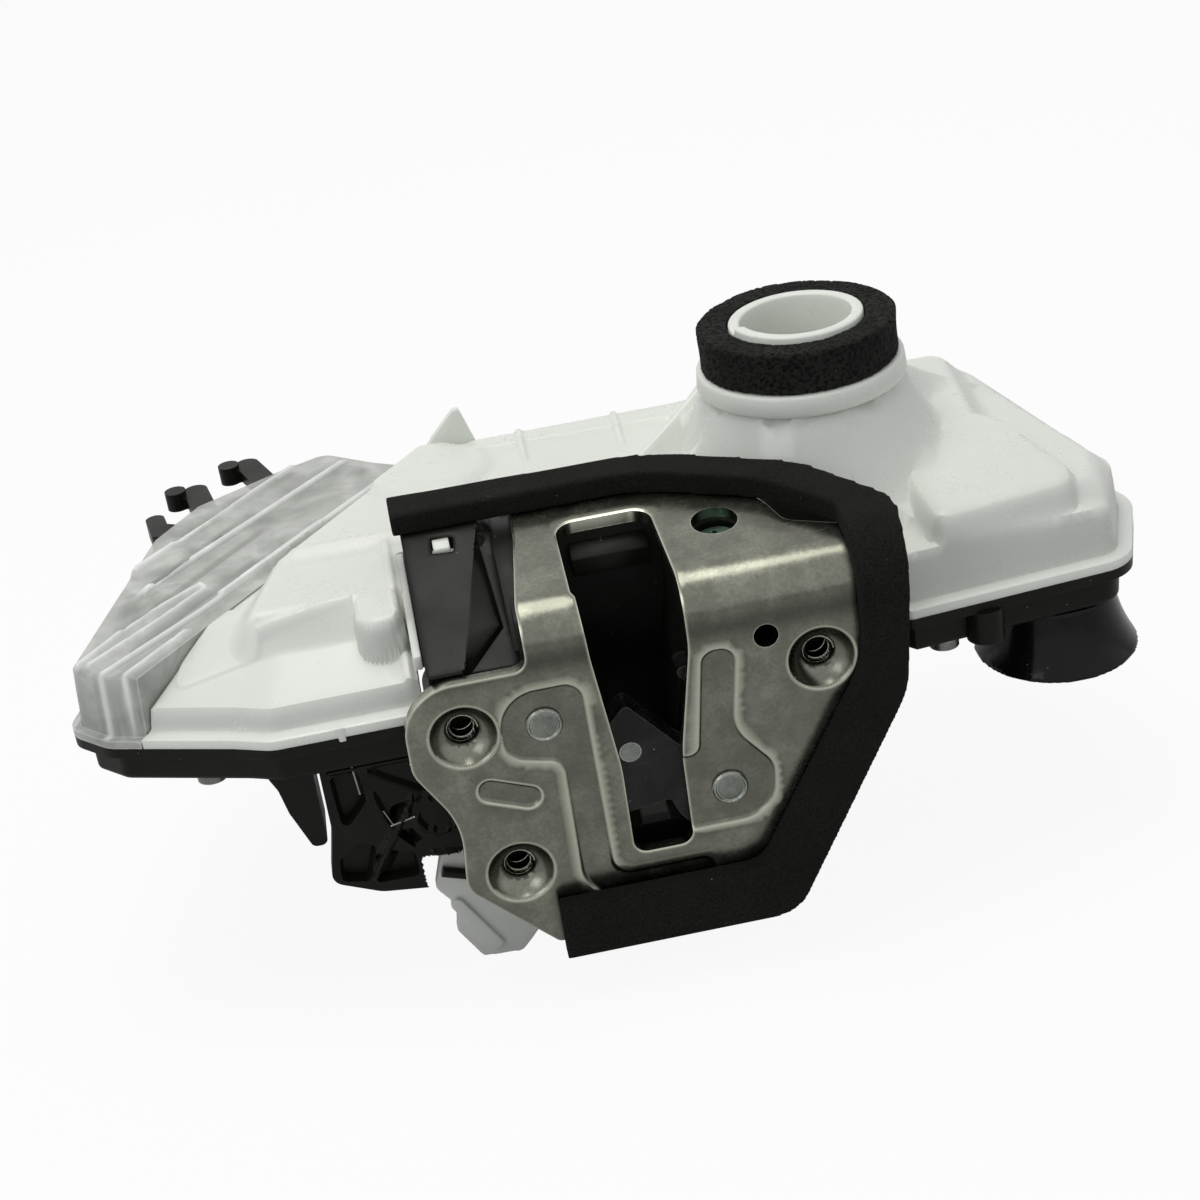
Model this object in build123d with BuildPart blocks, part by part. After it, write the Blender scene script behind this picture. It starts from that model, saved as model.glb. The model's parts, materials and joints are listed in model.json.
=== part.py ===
"""Side-door latch with its lock actuator: an angled steel face plate, fork and pawl, and a two-part
plastic case that holds the motor drive.  X runs along the case, Y goes from the face plate into the
door and Z follows the key spigot.  The origin is the middle of the striker slot on the outer skin of
the face plate."""

import os
from math import atan2, cos, degrees, pi, radians, sin, tan

from build123d import *

# ---------------------------------------------------------------- face plate
plate_t = 2.8            # sheet thickness
bend_r = 9.0             # outer bend radius
bend_z = 24.0            # height at which the bend starts
bend_turn = 82.0         # degrees turned by the bend
slot_top_w = 20.5        # striker slot on the flange
slot_low_w = 13.0        # striker slot low on the face
slot_bottom = -28.7
slot_depth = 32.5        # how far the slot runs back into the flange
emboss = 0.7
screw_points = [(39.0, 9.9), (-37.3, 7.7), (-30.6, -27.6)]
dimple_r = 7.0
dimple_depth = 4.0
thread_r = 2.5           # M6 thread core
thread_end = 9.5
collar_wall = 2.0
gauge_hole = (27.9, 17.8)
gauge_r = 2.65
relief_draft = 4.0                       # degrees, on the pockets that clear the collars
driver_hole = (23.3, 22.6)
driver_r = 5.0

# ---------------------------------------------------------------- fork and pawl
fork_pivot_at = (16.4, -16.9)
pawl_pivot_at = (-20.4, 6.9)
rivet_r = 3.0
rivet_head_r = 3.9
rivet_head_t = 0.9
run_fit = 0.05           # radial running clearance
fork_t = 6.4
fork_r = 30.0
fork_hub_r = 9.5
mouth_w = 12.0
mouth_axis = 130.0       # degrees, direction in which the open mouth looks
mouth_reach = 15.4
striking_edge = 188.0    # direction of the rear edge of the fork's striking prong
body_gap = 0.4           # clearance between moving and fixed faces
pawl_t = 5.0
spring_r = 6.0
spring_wire_r = 0.45
spring_floor = 12.8
spring_pitch = 1.2
spring_len = 1.25 * spring_pitch
pawl_hub_r = 7.2

# ---------------------------------------------------------------- latch body
tray_back = 13.6
pocket_back = 11.2
channel_wall = 2.2
channel_back = 36.0
deck_back = 47.0
back_plate_t = 1.8
seal_t = 5.0
skin_gap = 0.05          # glued faces
shoulder_left = -42.5
shoulder_right = -22.6

# ---------------------------------------------------------------- case
part_z = 8.0             # parting plane of cover and case
rim_t = 2.4
rim_w = 3.2
wall = 2.2
case_floor = -2.0
cover_top = 31.0
case_back = 104.0
arm_top = 20.5
right_top = 26.0
spigot_at = (53.0, 65.0)
spigot_r = 15.2
spigot_bore = 12.6
spigot_top = 61.5
collar_r = 23.8
collar_top = 50.5
tower_r = 33.0
foam_r = 22.6
foam_h = 9.7
wing_top = 25.0
wing_wall = 1.8
hood_at = (99.0, 34.0)
hood_low = -17.0
hood_wall = 1.8
seal_groove = (1.3, 2.4)  # both sides of the case seal's groove, from the rim's edge

# ---------------------------------------------------------------- drive
module_mm = 1.0
wheel_teeth = 26
wheel_t = 4.0
wheel_at = (8.0, 68.0)
drive_z = 10.2           # height of the worm and motor axis
worm_pitch_r = 4.0
worm_turns = 5
motor_r = 12.0
motor_half_h = 9.2
motor_len = 28.0
motor_x = 28.0
pinion_teeth = 12
sector_teeth = 36
pinion_t = 5.0
post_r = 2.6
tooth_share = 0.35       # tooth thickness at the pitch line, as a share of the pitch
rotor_r = 11.8
rotor_top = 33.0
screw_len_up = 9.0       # screw thread above the parting plane

os.makedirs("parts", exist_ok=True)


# ================================================================ shared geometry
def face(y):
    """Plane parallel to the face plate, y into the door, seen from the front."""
    return Plane(origin=(0, y, 0), x_dir=(1, 0, 0), z_dir=(0, -1, 0))


def level(z):
    return Plane.XY.offset(z)


def outline(points, radii):
    """Closed outline with a rounded corner at each point."""
    with BuildLine() as loop:
        FilletPolyline(*points, radius=radii, close=True)
    make_face(loop.edges())


rise = radians(90.0 - bend_turn)


def skin(offset):
    """Points of the plate's outer skin, moved outwards by offset, in the YZ plane."""
    radius = bend_r + offset
    half = radians(180.0 - bend_turn / 2)
    last = radians(180.0 - bend_turn)
    start = (bend_r - radius, bend_z)
    middle = (bend_r + radius * cos(half), bend_z + radius * sin(half))
    end = (bend_r + radius * cos(last), bend_z + radius * sin(last))
    return start, middle, end


def along_flange(point, reach):
    return (point[0] + reach * cos(rise), point[1] + reach * sin(rise))


def skin_z(y, offset=0.0):
    """Height of the flange skin above a depth y."""
    end = skin(offset)[2]
    return end[1] + (y - end[0]) * tan(rise)


low_end = -60.0
flange_reach = 60.0


def angle_section(outer, inner):
    """Section of a layer that follows the plate round its bend."""
    a0, a1, a2 = skin(outer)
    b0, b1, b2 = skin(inner)
    a3, b3 = along_flange(a2, flange_reach), along_flange(b2, flange_reach)
    with BuildLine() as loop:
        Line((a0[0], low_end), a0)
        ThreePointArc(a0, a1, a2)
        Polyline(a2, a3, b3, b2)
        ThreePointArc(b2, b1, b0)
        Polyline(b0, (b0[0], low_end), (a0[0], low_end))
    make_face(loop.edges())


def behind_section(offset):
    """Section of everything that lies behind a skin."""
    a0, a1, a2 = skin(offset)
    a3 = along_flange(a2, flange_reach)
    with BuildLine() as loop:
        Line((a0[0], low_end), a0)
        ThreePointArc(a0, a1, a2)
        Polyline(a2, a3, (a3[0], low_end), (a0[0], low_end))
    make_face(loop.edges())


left_far, right_far = -90.0, 90.0


def turned(point, centre, angle):
    """Point given round a centre, turned by an angle in degrees."""
    a = radians(angle)
    return (centre[0] + point[0] * cos(a) - point[1] * sin(a),
            centre[1] + point[0] * sin(a) + point[1] * cos(a))


def polar(centre, radius, angle):
    return turned((radius, 0), centre, angle)


# ---- outlines of the plate and of the seal that frames it
flange_left = -22.0
seal_in_x, seal_out_x = 47.5, 59.6
seal_low, seal_low_in = -48.7, -35.5
plate_low = seal_low + 1.5
plate_under_seal = 2.0

plate_front = [(flange_left, 44), (flange_left, 20.3), (-49.0, 20.3), (-49.2, 1.0), (-41.2, -13.0),
               (-42.6, -29.5), (-25.0, plate_low), (25.0, plate_low), (54.0, 2.0),
               (seal_out_x - plate_under_seal, 44)]
plate_front_r = [0, 3, 11.4, 8, 20, 6, 2, 8, 20, 0]
plate_top = [(flange_left, 6), (-19.0, 30), (-18.4, 44), (13.0, 42), (30.0, 36.5), (35.3, 25.5), (37.5, 18.5),
             (47.0, 14.0), (seal_out_x - plate_under_seal, 12), (seal_out_x - plate_under_seal, 6)]
plate_top_r = [0, 20, 1, 6, 6, 4, 4, 4, 1, 0]
seal_front = [(seal_in_x, 44), (seal_in_x, 9.0), (21.0, seal_low_in), (-24.0, seal_low_in), (-24.0, seal_low),
              (27.3, seal_low), (55.8, 1.5), (seal_out_x, 44)]
seal_front_r = [0, 25, 6, 0, 0, 9, 20, 0]
seal_top = [(-44.0, 38.6), (10.0, 38.6), (34.0, 27.5), (seal_in_x, 13.0), (seal_in_x, 6), (seal_out_x, 6),
            (seal_out_x - 1.0, 13.0), (44.0, 31.0), (14.0, 45.5), (-44.0, 47.0)]
seal_top_r = [0, 30, 20, 3, 0, 0, 3, 22, 40, 0]
slot_front = [(-slot_top_w / 2, 44), (-8.8, 20.0), (-slot_low_w / 2 + 0.7, -7.0),
              (-slot_low_w / 2 + 0.7, slot_bottom), (slot_low_w / 2 + 0.7, slot_bottom),
              (slot_low_w / 2 + 0.8, -6.0), (11.6, 18.0), (slot_top_w / 2 + 1.4, 44)]
slot_front_r = [0, 30, 40, 3, 3, 40, 30, 0]
slot_flange = [(-slot_top_w / 2, 6), (-slot_top_w / 2 + 0.3, slot_depth), (slot_top_w / 2 + 0.4, slot_depth),
               (slot_top_w / 2 + 1.4, 6)]
slot_flange_r = [0, 4.5, 4.5, 0]
split_y = 7.0            # the front outlines hold up to here, the top outlines behind it


def bands(front, front_r, top, top_r):
    """Front and top outlines as one tool body."""
    with BuildPart() as tool:
        with BuildSketch(face(split_y)):
            outline(front, front_r)
        extrude(amount=40)
        with BuildSketch(level(10)):
            outline([(x, max(y, split_y)) for x, y in top], top_r)
        extrude(amount=60)
    return tool.part


plate_tool = bands(plate_front, plate_front_r, plate_top, plate_top_r)
seal_tool = bands(seal_front, seal_front_r, seal_top, seal_top_r)

# ================================================================ face plate
# Pressed ribs: a long one round the pawl rivet and under the slot, and one round the fork rivet.
rib_long = [(-29.3, 15.3), (-11.7, 15.3), (-10.9, -33.0), (10.8, -33.0), (10.8, -38.8), (-17.5, -38.8),
            (-17.5, -2.5), (-29.3, 0.5)]
rib_long_r = [8.2, 4, 4, 2.6, 2.6, 9, 4, 5]
rib_short = [(14.2, 16.5), (21.2, 16.5), (18.5, -3.0), (26.4, -13.0), (25.4, -25.3), (5.0, -25.3), (5.0, -7.5),
             (10.9, -7.5)]
rib_short_r = [3, 3, 10, 6, 8, 0, 0, 2.5]

with BuildPart() as face_plate:
    with BuildSketch(Plane.YZ.offset(left_far)):
        angle_section(0, -plate_t)
    extrude(amount=right_far - left_far)
    add(plate_tool, mode=Mode.INTERSECT)
    # threaded collars behind the dimples
    with BuildSketch(face(0.5)):
        with Locations(*screw_points):
            Circle(dimple_r + 1.2)
    extrude(amount=-dimple_depth, taper=32)
    with BuildSketch(face(plate_t - 0.5)):
        with Locations(*screw_points):
            Circle(thread_r + collar_wall)
    extrude(amount=-(thread_end - plate_t + 0.5))
    with BuildSketch(face(-0.1)):
        with Locations(*screw_points):
            Circle(dimple_r + 0.1)
    extrude(amount=-(dimple_depth + 0.1), taper=45, mode=Mode.SUBTRACT)
    with BuildSketch(face(0)):
        with Locations(*screw_points):
            Circle(thread_r)
    extrude(amount=-(thread_end + 1), mode=Mode.SUBTRACT)
    # pressed ribs and the bean-shaped stamping
    with BuildSketch(face(0)):
        outline(rib_long, rib_long_r)
        outline(rib_short, rib_short_r)
        with Locations(Location((-30.0, -7.9), -22)):
            SlotOverall(13.6, 5.2)
    extrude(amount=-emboss, mode=Mode.SUBTRACT)
    # striker slot through face, bend and flange
    with BuildSketch(face(split_y)):
        outline(slot_front, slot_front_r)
    extrude(amount=30, mode=Mode.SUBTRACT)
    with BuildSketch(level(10)):
        outline([(x, max(y, split_y)) for x, y in slot_flange], slot_flange_r)
    extrude(amount=60, mode=Mode.SUBTRACT)
    # holes: gauge hole, rivets, screwdriver hole in the flange
    with BuildSketch(face(-1)):
        with Locations(gauge_hole):
            Circle(gauge_r)
        with Locations(fork_pivot_at, pawl_pivot_at):
            Circle(rivet_r + run_fit)
    extrude(amount=-(plate_t + 2), mode=Mode.SUBTRACT)
    with BuildSketch(level(20)):
        with Locations(driver_hole):
            Circle(driver_r)
    extrude(amount=30, mode=Mode.SUBTRACT)
face_plate.part.label = "face_plate"

# ================================================================ plate seal
with BuildPart() as plate_seal:
    with BuildSketch(Plane.YZ.offset(left_far)):
        angle_section(seal_t + skin_gap, skin_gap)
    extrude(amount=right_far - left_far)
    add(seal_tool, mode=Mode.INTERSECT)
plate_seal.part.label = "plate_seal"

# ================================================================ latch body
body_left = -43.7
body_front = [(shoulder_right, 44), (shoulder_right, 19.6), (body_left, 19.6), (body_left + 0.2, -3.0),
              (-40.0, -13.0), (-41.3, -29.0), (-24.4, seal_low + 1.0), (26.0, seal_low + 1.0), (54.8, 1.0),
              (seal_out_x - 0.9, 44)]
body_front_r = [0, 0, 5, 4, 10, 6, 2, 8, 20, 0]
deck_top = [(shoulder_right + 2.2, tray_back - 2), (shoulder_right + 2.2, deck_back), (14.0, 44.6), (43.2, 30.4),
            (seal_out_x - 1.8, 13.0), (seal_out_x - 1.8, tray_back - 2)]
deck_top_r = [0, 0, 40, 22, 1, 0]
deck_low = 24.5
latch_floor = skin_gap + plate_t
screw_boss_r = 5.2
screw_pilot_r = 1.8
head_seat_z = skin_z(driver_hole[1], -plate_t) - 3.2


def channel(extra):
    """Outline of the striker channel, grown by extra."""
    outline(slot_front, slot_front_r)
    offset(amount=extra)


with BuildPart() as latch_body:
    with BuildSketch(face(tray_back)):
        outline(body_front, body_front_r)
    extrude(amount=tray_back)
    with BuildSketch(face(channel_back)):
        channel(channel_wall + 0.6)
    extrude(amount=channel_back - latch_floor)
    with BuildSketch(level(deck_low)):
        outline(deck_top, deck_top_r)
    extrude(amount=20)
    with BuildSketch(level(deck_low - 14)):
        with Locations(driver_hole):
            Circle(screw_boss_r)
    extrude(amount=16)
    # trim everything to the inside of the plate
    with BuildSketch(Plane.YZ.offset(left_far)):
        behind_section(-latch_floor)
    extrude(amount=right_far - left_far, mode=Mode.INTERSECT)
    # pocket for fork and pawl
    with BuildSketch(face(pocket_back)):
        with Locations(fork_pivot_at):
            Circle(fork_r + 1.5)
        with Locations(pawl_pivot_at):
            Circle(pawl_hub_r + 3.5)
        with Locations((-19.0, -8.0)):
            Rectangle(26.0, 26.0)
        with Locations((30.0, -8.0)):
            Rectangle(63.0, 76.0, mode=Mode.INTERSECT, align=(Align.MAX, Align.CENTER))
    extrude(amount=pocket_back - latch_floor + 0.5, mode=Mode.SUBTRACT)
    # striker channel, open at the front and at the top
    with BuildSketch(face(channel_back - channel_wall)):
        channel(0.6)
    extrude(amount=60, mode=Mode.SUBTRACT)
    # counterbores for the two return springs
    with BuildSketch(face(spring_floor)):
        with Locations(fork_pivot_at, pawl_pivot_at):
            Circle(spring_r + spring_wire_r + 0.6)
    extrude(amount=4, mode=Mode.SUBTRACT)
    # relief round the threaded collars and behind the gauge hole
    with BuildSketch(face(thread_end + 1.0)):
        with Locations(*screw_points):
            Circle(dimple_r + 1.4)
        with Locations(gauge_hole):
            Circle(gauge_r + 0.6)
    extrude(amount=thread_end + 1.0 - latch_floor + 0.5, taper=-relief_draft, mode=Mode.SUBTRACT)
    with BuildSketch(face(tray_back + 1)):
        with Locations(fork_pivot_at, pawl_pivot_at):
            Circle(rivet_r + run_fit)
    extrude(amount=20, mode=Mode.SUBTRACT)
    with BuildSketch(level(deck_low - 16)):
        with Locations(driver_hole):
            Circle(screw_pilot_r)
    extrude(amount=60, mode=Mode.SUBTRACT)
    with BuildSketch(level(head_seat_z)):
        with Locations(driver_hole):
            Circle(driver_r - 0.2)
    extrude(amount=20, mode=Mode.SUBTRACT)
latch_body.part.label = "latch_body"

# ---- slanted shoulder panel between the plate's lobe, the flange and the seal
panel_t = 3.0
panel_low_y = latch_floor + 0.3
panel_low_z = 21.2
panel_top_y = 38.4
with BuildPart() as shoulder_panel:
    with BuildSketch(Plane.YZ.offset(shoulder_left)):
        with BuildLine():
            Polyline((panel_low_y, panel_low_z), (panel_top_y, skin_z(panel_top_y)),
                     (deck_back, skin_z(deck_back)), (deck_back, skin_z(deck_back) - panel_t - 1.5),
                     (panel_top_y, skin_z(panel_top_y) - panel_t - 1.5), (tray_back, 19.7),
                     (panel_low_y, 19.7), (panel_low_y, panel_low_z))
        make_face()
    extrude(amount=shoulder_right - skin_gap - shoulder_left)
    # raised wedge beside the flange
    with BuildSketch(Plane.YZ.offset(shoulder_right - 5.0)):
        with BuildLine():
            Polyline((10.0, 23.0), (20.0, skin_z(20.0) - 2.6), (34.0, skin_z(34.0) - 0.9), (10.0, 23.0))
        make_face()
    extrude(amount=4.6)
    # snap window with its tongue seat
    with BuildSketch(level(20)):
        with Locations((-34.5, 30.5)):
            Rectangle(5.0, 3.0)
    extrude(amount=30, mode=Mode.SUBTRACT)
shoulder_panel.part.label = "shoulder_panel"

# ---- back plate behind the tray
back_outline = [(-32.0, 14.5), (-32.0, -4.0), (-24.0, -33.5), (28.0, -33.5), (36.0, -14.0), (24.0, 14.5)]
with BuildPart() as back_plate:
    with BuildSketch(face(tray_back + skin_gap + back_plate_t)):
        outline(back_outline, [5, 5, 4, 6, 6, 5])
        with BuildSketch(face(0), mode=Mode.PRIVATE) as notch:
            channel(channel_wall + 1.0)
        add(notch.sketch_local, mode=Mode.SUBTRACT)
        with Locations(fork_pivot_at, pawl_pivot_at):
            Circle(rivet_r + run_fit, mode=Mode.SUBTRACT)
    extrude(amount=back_plate_t)
back_plate.part.label = "back_plate"
rivet_tail = tray_back + skin_gap + back_plate_t + skin_gap


def rivet(at):
    """Solid rivet through face plate, tray and back plate."""
    with BuildPart() as body:
        with BuildSketch(face(rivet_tail)):
            with Locations(at):
                Circle(rivet_r)
        extrude(amount=rivet_tail - emboss + skin_gap)
        for y, sense in ((emboss - skin_gap, 1), (rivet_tail, -1)):
            with BuildSketch(face(y)):
                with Locations(at):
                    Circle(rivet_head_r)
            extrude(amount=sense * rivet_head_t, taper=20)
    return body


fork_pivot = rivet(fork_pivot_at)
fork_pivot.part.label = "fork_pivot"
pawl_pivot = rivet(pawl_pivot_at)
pawl_pivot.part.label = "pawl_pivot"

# ================================================================ fork bolt
fork_front = plate_t + body_gap + skin_gap
fork_back = fork_front + fork_t
mouth_off = mouth_w / 2


def about_fork(along, across):
    """Point along and across the mouth's axis, counted from the fork pivot."""
    return turned((along, -across), fork_pivot_at, mouth_axis)


with BuildPart() as fork_bolt:
    with BuildSketch(face(fork_back)):
        with Locations(fork_pivot_at):
            Circle(fork_r)
        # keep the sector between the hook and the striking prong, plus the hub
        with BuildLine():
            Polyline(fork_pivot_at, polar(fork_pivot_at, 60, 84), polar(fork_pivot_at, 60, 135),
                     polar(fork_pivot_at, 60, striking_edge), fork_pivot_at)
        make_face(mode=Mode.INTERSECT)
        with Locations(fork_pivot_at):
            Circle(fork_hub_r + 3)
        # mouth
        with BuildLine():
            Polyline(about_fork(mouth_reach, 0), about_fork(60, 0), about_fork(60, mouth_w),
                     about_fork(mouth_reach, mouth_w), about_fork(mouth_reach, 0))
        make_face(mode=Mode.SUBTRACT)
        with Locations(about_fork(mouth_reach, mouth_off)):
            Circle(mouth_off, mode=Mode.SUBTRACT)
        fillet(vertices().filter_by_position(Axis.X, -40, 40), radius=1.2)
        with Locations(fork_pivot_at):
            Circle(rivet_r + run_fit, mode=Mode.SUBTRACT)
    extrude(amount=fork_t)
    insert_at = (-3.3, -5.5)
    with BuildSketch(face(fork_front + 1.2)):
        with Locations(insert_at):
            Circle(2.4)
    extrude(amount=3, mode=Mode.SUBTRACT)
fork_bolt.part.label = "fork_bolt"

with BuildPart() as fork_insert:
    with BuildSketch(face(fork_front + 1.2 - skin_gap)):
        with Locations(insert_at):
            Circle(2.4 - skin_gap)
    extrude(amount=1.0)
fork_insert.part.label = "fork_insert"

# ================================================================ pawl
pawl_gap = 0.4
with BuildPart() as pawl:
    with BuildSketch(face(fork_front + pawl_t)):
        with Locations(pawl_pivot_at):
            Circle(pawl_hub_r)
        with BuildLine():
            Polyline((pawl_pivot_at[0] - 7.0, pawl_pivot_at[1]),
                     (pawl_pivot_at[0] + 6.6, pawl_pivot_at[1] - 2.0),
                     polar(fork_pivot_at, fork_r + pawl_gap, 163), polar(fork_pivot_at, fork_r + pawl_gap, 176),
                     (pawl_pivot_at[0] - 7.0, pawl_pivot_at[1]))
        make_face()
        with Locations(fork_pivot_at):
            Circle(fork_r + pawl_gap, mode=Mode.SUBTRACT)
        with Locations(pawl_pivot_at):
            Circle(rivet_r + run_fit, mode=Mode.SUBTRACT)
    extrude(amount=pawl_t)
pawl.part.label = "pawl"


# ---- return springs, coiled round the pivots in the tray's counterbores
def coil(at):
    with BuildPart() as body:
        with BuildLine() as wound:
            Helix(pitch=spring_pitch, height=spring_len, radius=spring_r,
                  center=(at[0], spring_floor - spring_len - spring_wire_r - 0.3, at[1]), direction=(0, 1, 0))
        path = wound.line
        with BuildSketch(Plane(origin=path @ 0, z_dir=path % 0)) as wire:
            Circle(spring_wire_r)
        sweep(wire.sketch, path=path, is_frenet=True)
    return body


fork_spring = coil(fork_pivot_at)
fork_spring.part.label = "fork_spring"
pawl_spring = coil(pawl_pivot_at)
pawl_spring.part.label = "pawl_spring"

# ---- rubber overslam bumper on the floor of the striker channel
with BuildPart() as striker_bumper:
    with BuildSketch(face(20.0)):
        with Locations((0.75, slot_bottom - 0.6 + 2 * skin_gap)):
            Rectangle(6.4, 2.2, align=(Align.CENTER, Align.MIN))
    extrude(amount=8.4)
    fillet(striker_bumper.edges().filter_by(Axis.Y).group_by(Axis.Z)[-1], radius=0.8)
striker_bumper.part.label = "striker_bumper"

# ================================================================ case outline
case_front = deck_back + 0.3
rim = [(seal_out_x + 1.6, 12.0), (112.0, 17.0), (121.5, 43.0), (103.0, case_back), (-28.0, case_back),
       (-44.0, 116.0), (-57.0, 128.0), (-70.0, 122.0), (-92.0, 109.0), (-103.0, 93.0), (-120.5, 33.0),
       (-112.0, 24.0), (-85.0, 13.5), (-77.0, 9.5), (-44.3, 9.5), (-44.3, case_front),
       (14.6, case_front), (45.2, 32.3)]
rim_r = [1.5, 9, 14, 6, 3, 4, 8, 6, 5, 5, 6, 8, 6, 8, 1.2, 1.2, 38, 20]
divide_back, divide_front = (-29.0, 114.0), (-104.5, 21.0)
divide_gap = 0.4
divide_angle = degrees(atan2(divide_back[1] - divide_front[1], divide_back[0] - divide_front[0]))


def along_divide(along, across):
    """Point measured along the joint of cover and wing, and across it to the cover's side."""
    return turned((along, -across), divide_front, divide_angle)


def half_field(side):
    """Everything on one side of the joint between cover and wing."""
    edge = side * divide_gap / 2
    far = side * 400
    with BuildLine() as loop:
        Polyline(along_divide(-200, edge), along_divide(400, edge), along_divide(400, far),
                 along_divide(-200, far), close=True)
    make_face(loop.edges(), mode=Mode.INTERSECT)


def case_outline(inset, side=0):
    """Case outline, moved inwards, whole (0) or on the cover's (1) or the wing's (-1) side."""
    outline(rim, rim_r)
    if inset:
        offset(amount=-inset)
    if side:
        half_field(side)


case_screws_at = [(70.0, 20.5), (112.0, 54.0), (62.0, 98.6), (-22.0, 98.6), (-92.0, 25.0), (-38.0, 88.0),
                  (-109.0, 42.0), (-56.0, 118.0)]
screw_r = 1.5
screw_fit = 0.05
boss_r = 3.8
lever_pins_at = [(-66.0, 98.0), (-84.0, 86.0)]
lever_pin_r = 2.5
carrier_z = 21.2
carrier_t = 1.4
carrier_posts_at = [(-12.0, 90.5), (72.0, 90.0), (104.0, 56.0)]
cover_screw_at = (-33.2, 62.0)
sector_at = (wheel_at[0] - module_mm * (pinion_teeth + sector_teeth) / 2, wheel_at[1])
worm_at_y = wheel_at[1] + module_mm * wheel_teeth / 2 + worm_pitch_r
socket_size = (18.0, 12.0)
socket_low = -12.0
leg_outline = [(-80.0, case_floor + 1), (-78.2, -5.0), (-77.0, -11.0), (-73.5, -20.5), (-70.2, -20.5),
               (-70.2, case_floor + 1)]

# ================================================================ rear case
with BuildPart() as rear_case:
    with BuildSketch(level(part_z - rim_t)):
        case_outline(0)
    extrude(amount=rim_t)
    with BuildSketch(level(case_floor)):
        case_outline(rim_w)
    extrude(amount=part_z - case_floor)
    fillet(rear_case.faces().sort_by(Axis.Z)[0].edges(), radius=1.4)
    with BuildSketch(level(case_floor + wall)):
        case_outline(rim_w + wall)
    extrude(amount=30, mode=Mode.SUBTRACT)
    # posts for the drive, the levers and the circuit carrier
    for at, radius, top in ((wheel_at, post_r, drive_z + 10), (sector_at, post_r, drive_z + 10),
                            (spigot_at, post_r, 26.0)):
        with BuildSketch(level(case_floor + 1)):
            with Locations(at):
                Circle(radius)
        extrude(amount=top - case_floor - 1)
    with BuildSketch(level(case_floor + 1)):
        with Locations(*carrier_posts_at):
            Circle(3.0)
    extrude(amount=carrier_z - skin_gap - case_floor - 1)
    with BuildSketch(level(case_floor + 1)):
        with Locations(*case_screws_at):
            Circle(boss_r)
        with Locations(*lever_pins_at):
            Circle(lever_pin_r + 2.2)
    extrude(amount=part_z - case_floor - 1)
    # cradle ribs of the motor
    for x in (motor_x + 3, motor_x + motor_len - 5):
        with BuildSketch(Plane.YZ.offset(x)):
            with Locations((worm_at_y, case_floor + 1)):
                Rectangle(2 * motor_r + 3, drive_z - case_floor - 1, align=(Align.CENTER, Align.MIN))
            with Locations((worm_at_y, drive_z)):
                Circle(motor_r + 0.1, mode=Mode.SUBTRACT)
        extrude(amount=2)
    # leg that props the lever bracket
    with BuildSketch(face(27.0)):
        outline(leg_outline, [0, 2, 3, 1.5, 1.5, 0])
    extrude(amount=12.0)
    # half-round stiffener on the front wall
    with BuildSketch(level(case_floor)):
        with Locations((78.5, 16.5)):
            Circle(4.2)
    extrude(amount=part_z - case_floor - rim_t)
    # seal groove, screw holes, lever pin seats and connector hole
    with BuildSketch(level(part_z - 0.9)):
        case_outline(seal_groove[0])
        with BuildSketch(mode=Mode.PRIVATE) as core:
            case_outline(seal_groove[1])
        add(core.sketch_local, mode=Mode.SUBTRACT)
    extrude(amount=5, mode=Mode.SUBTRACT)
    with BuildSketch(level(case_floor - 1)):
        with Locations(*case_screws_at):
            Circle(screw_r + screw_fit)
        with Locations(hood_at):
            Rectangle(socket_size[0] + 0.2, socket_size[1] + 0.2)
    extrude(amount=60, mode=Mode.SUBTRACT)
    with BuildSketch(level(case_floor + wall)):
        with Locations(*lever_pins_at):
            Circle(lever_pin_r + skin_gap)
    extrude(amount=60, mode=Mode.SUBTRACT)
rear_case.part.label = "rear_case"

with BuildPart() as case_seal:
    with BuildSketch(level(part_z - 0.85)):
        case_outline(seal_groove[0] + skin_gap)
        with BuildSketch(mode=Mode.PRIVATE) as core:
            case_outline(seal_groove[1] - skin_gap)
        add(core.sketch_local, mode=Mode.SUBTRACT)
    extrude(amount=0.85)
case_seal.part.label = "case_seal"

# ================================================================ front cover
plateau = [(-47.5, 12.7), (-58.5, 12.7), (-66.0, 34.0), (-78.0, 49.0), (-36.0, 100.0), (92.0, 100.0), (92.0, 50.5),
           (-47.5, 50.5)]
plateau_r = [2, 6, 8, 6, 5, 6, 6, 1.5]
right_field = [(seal_out_x + 4.8, 15.2), (108.0, 20.4), (115.5, 42.0), (100.0, 100.5), (30.0, 100.5),
               (30.0, 46.0), (48.5, 35.8)]
right_r = [3, 8, 12, 6, 1, 6, 12]
pad = [(-95.0, 27.0), (-92.0, 20.5), (-74.0, 21.0), (-70.0, 42.0), (-79.0, 46.0)]
pad_top = 23.5


def block(points, radii, low, top, inset):
    """Upright block, its sides moved inwards."""
    with BuildPart() as body:
        with BuildSketch(level(low)):
            outline(points, radii)
            if inset:
                offset(amount=-inset)
        extrude(amount=top - low)
    return body.part


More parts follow.
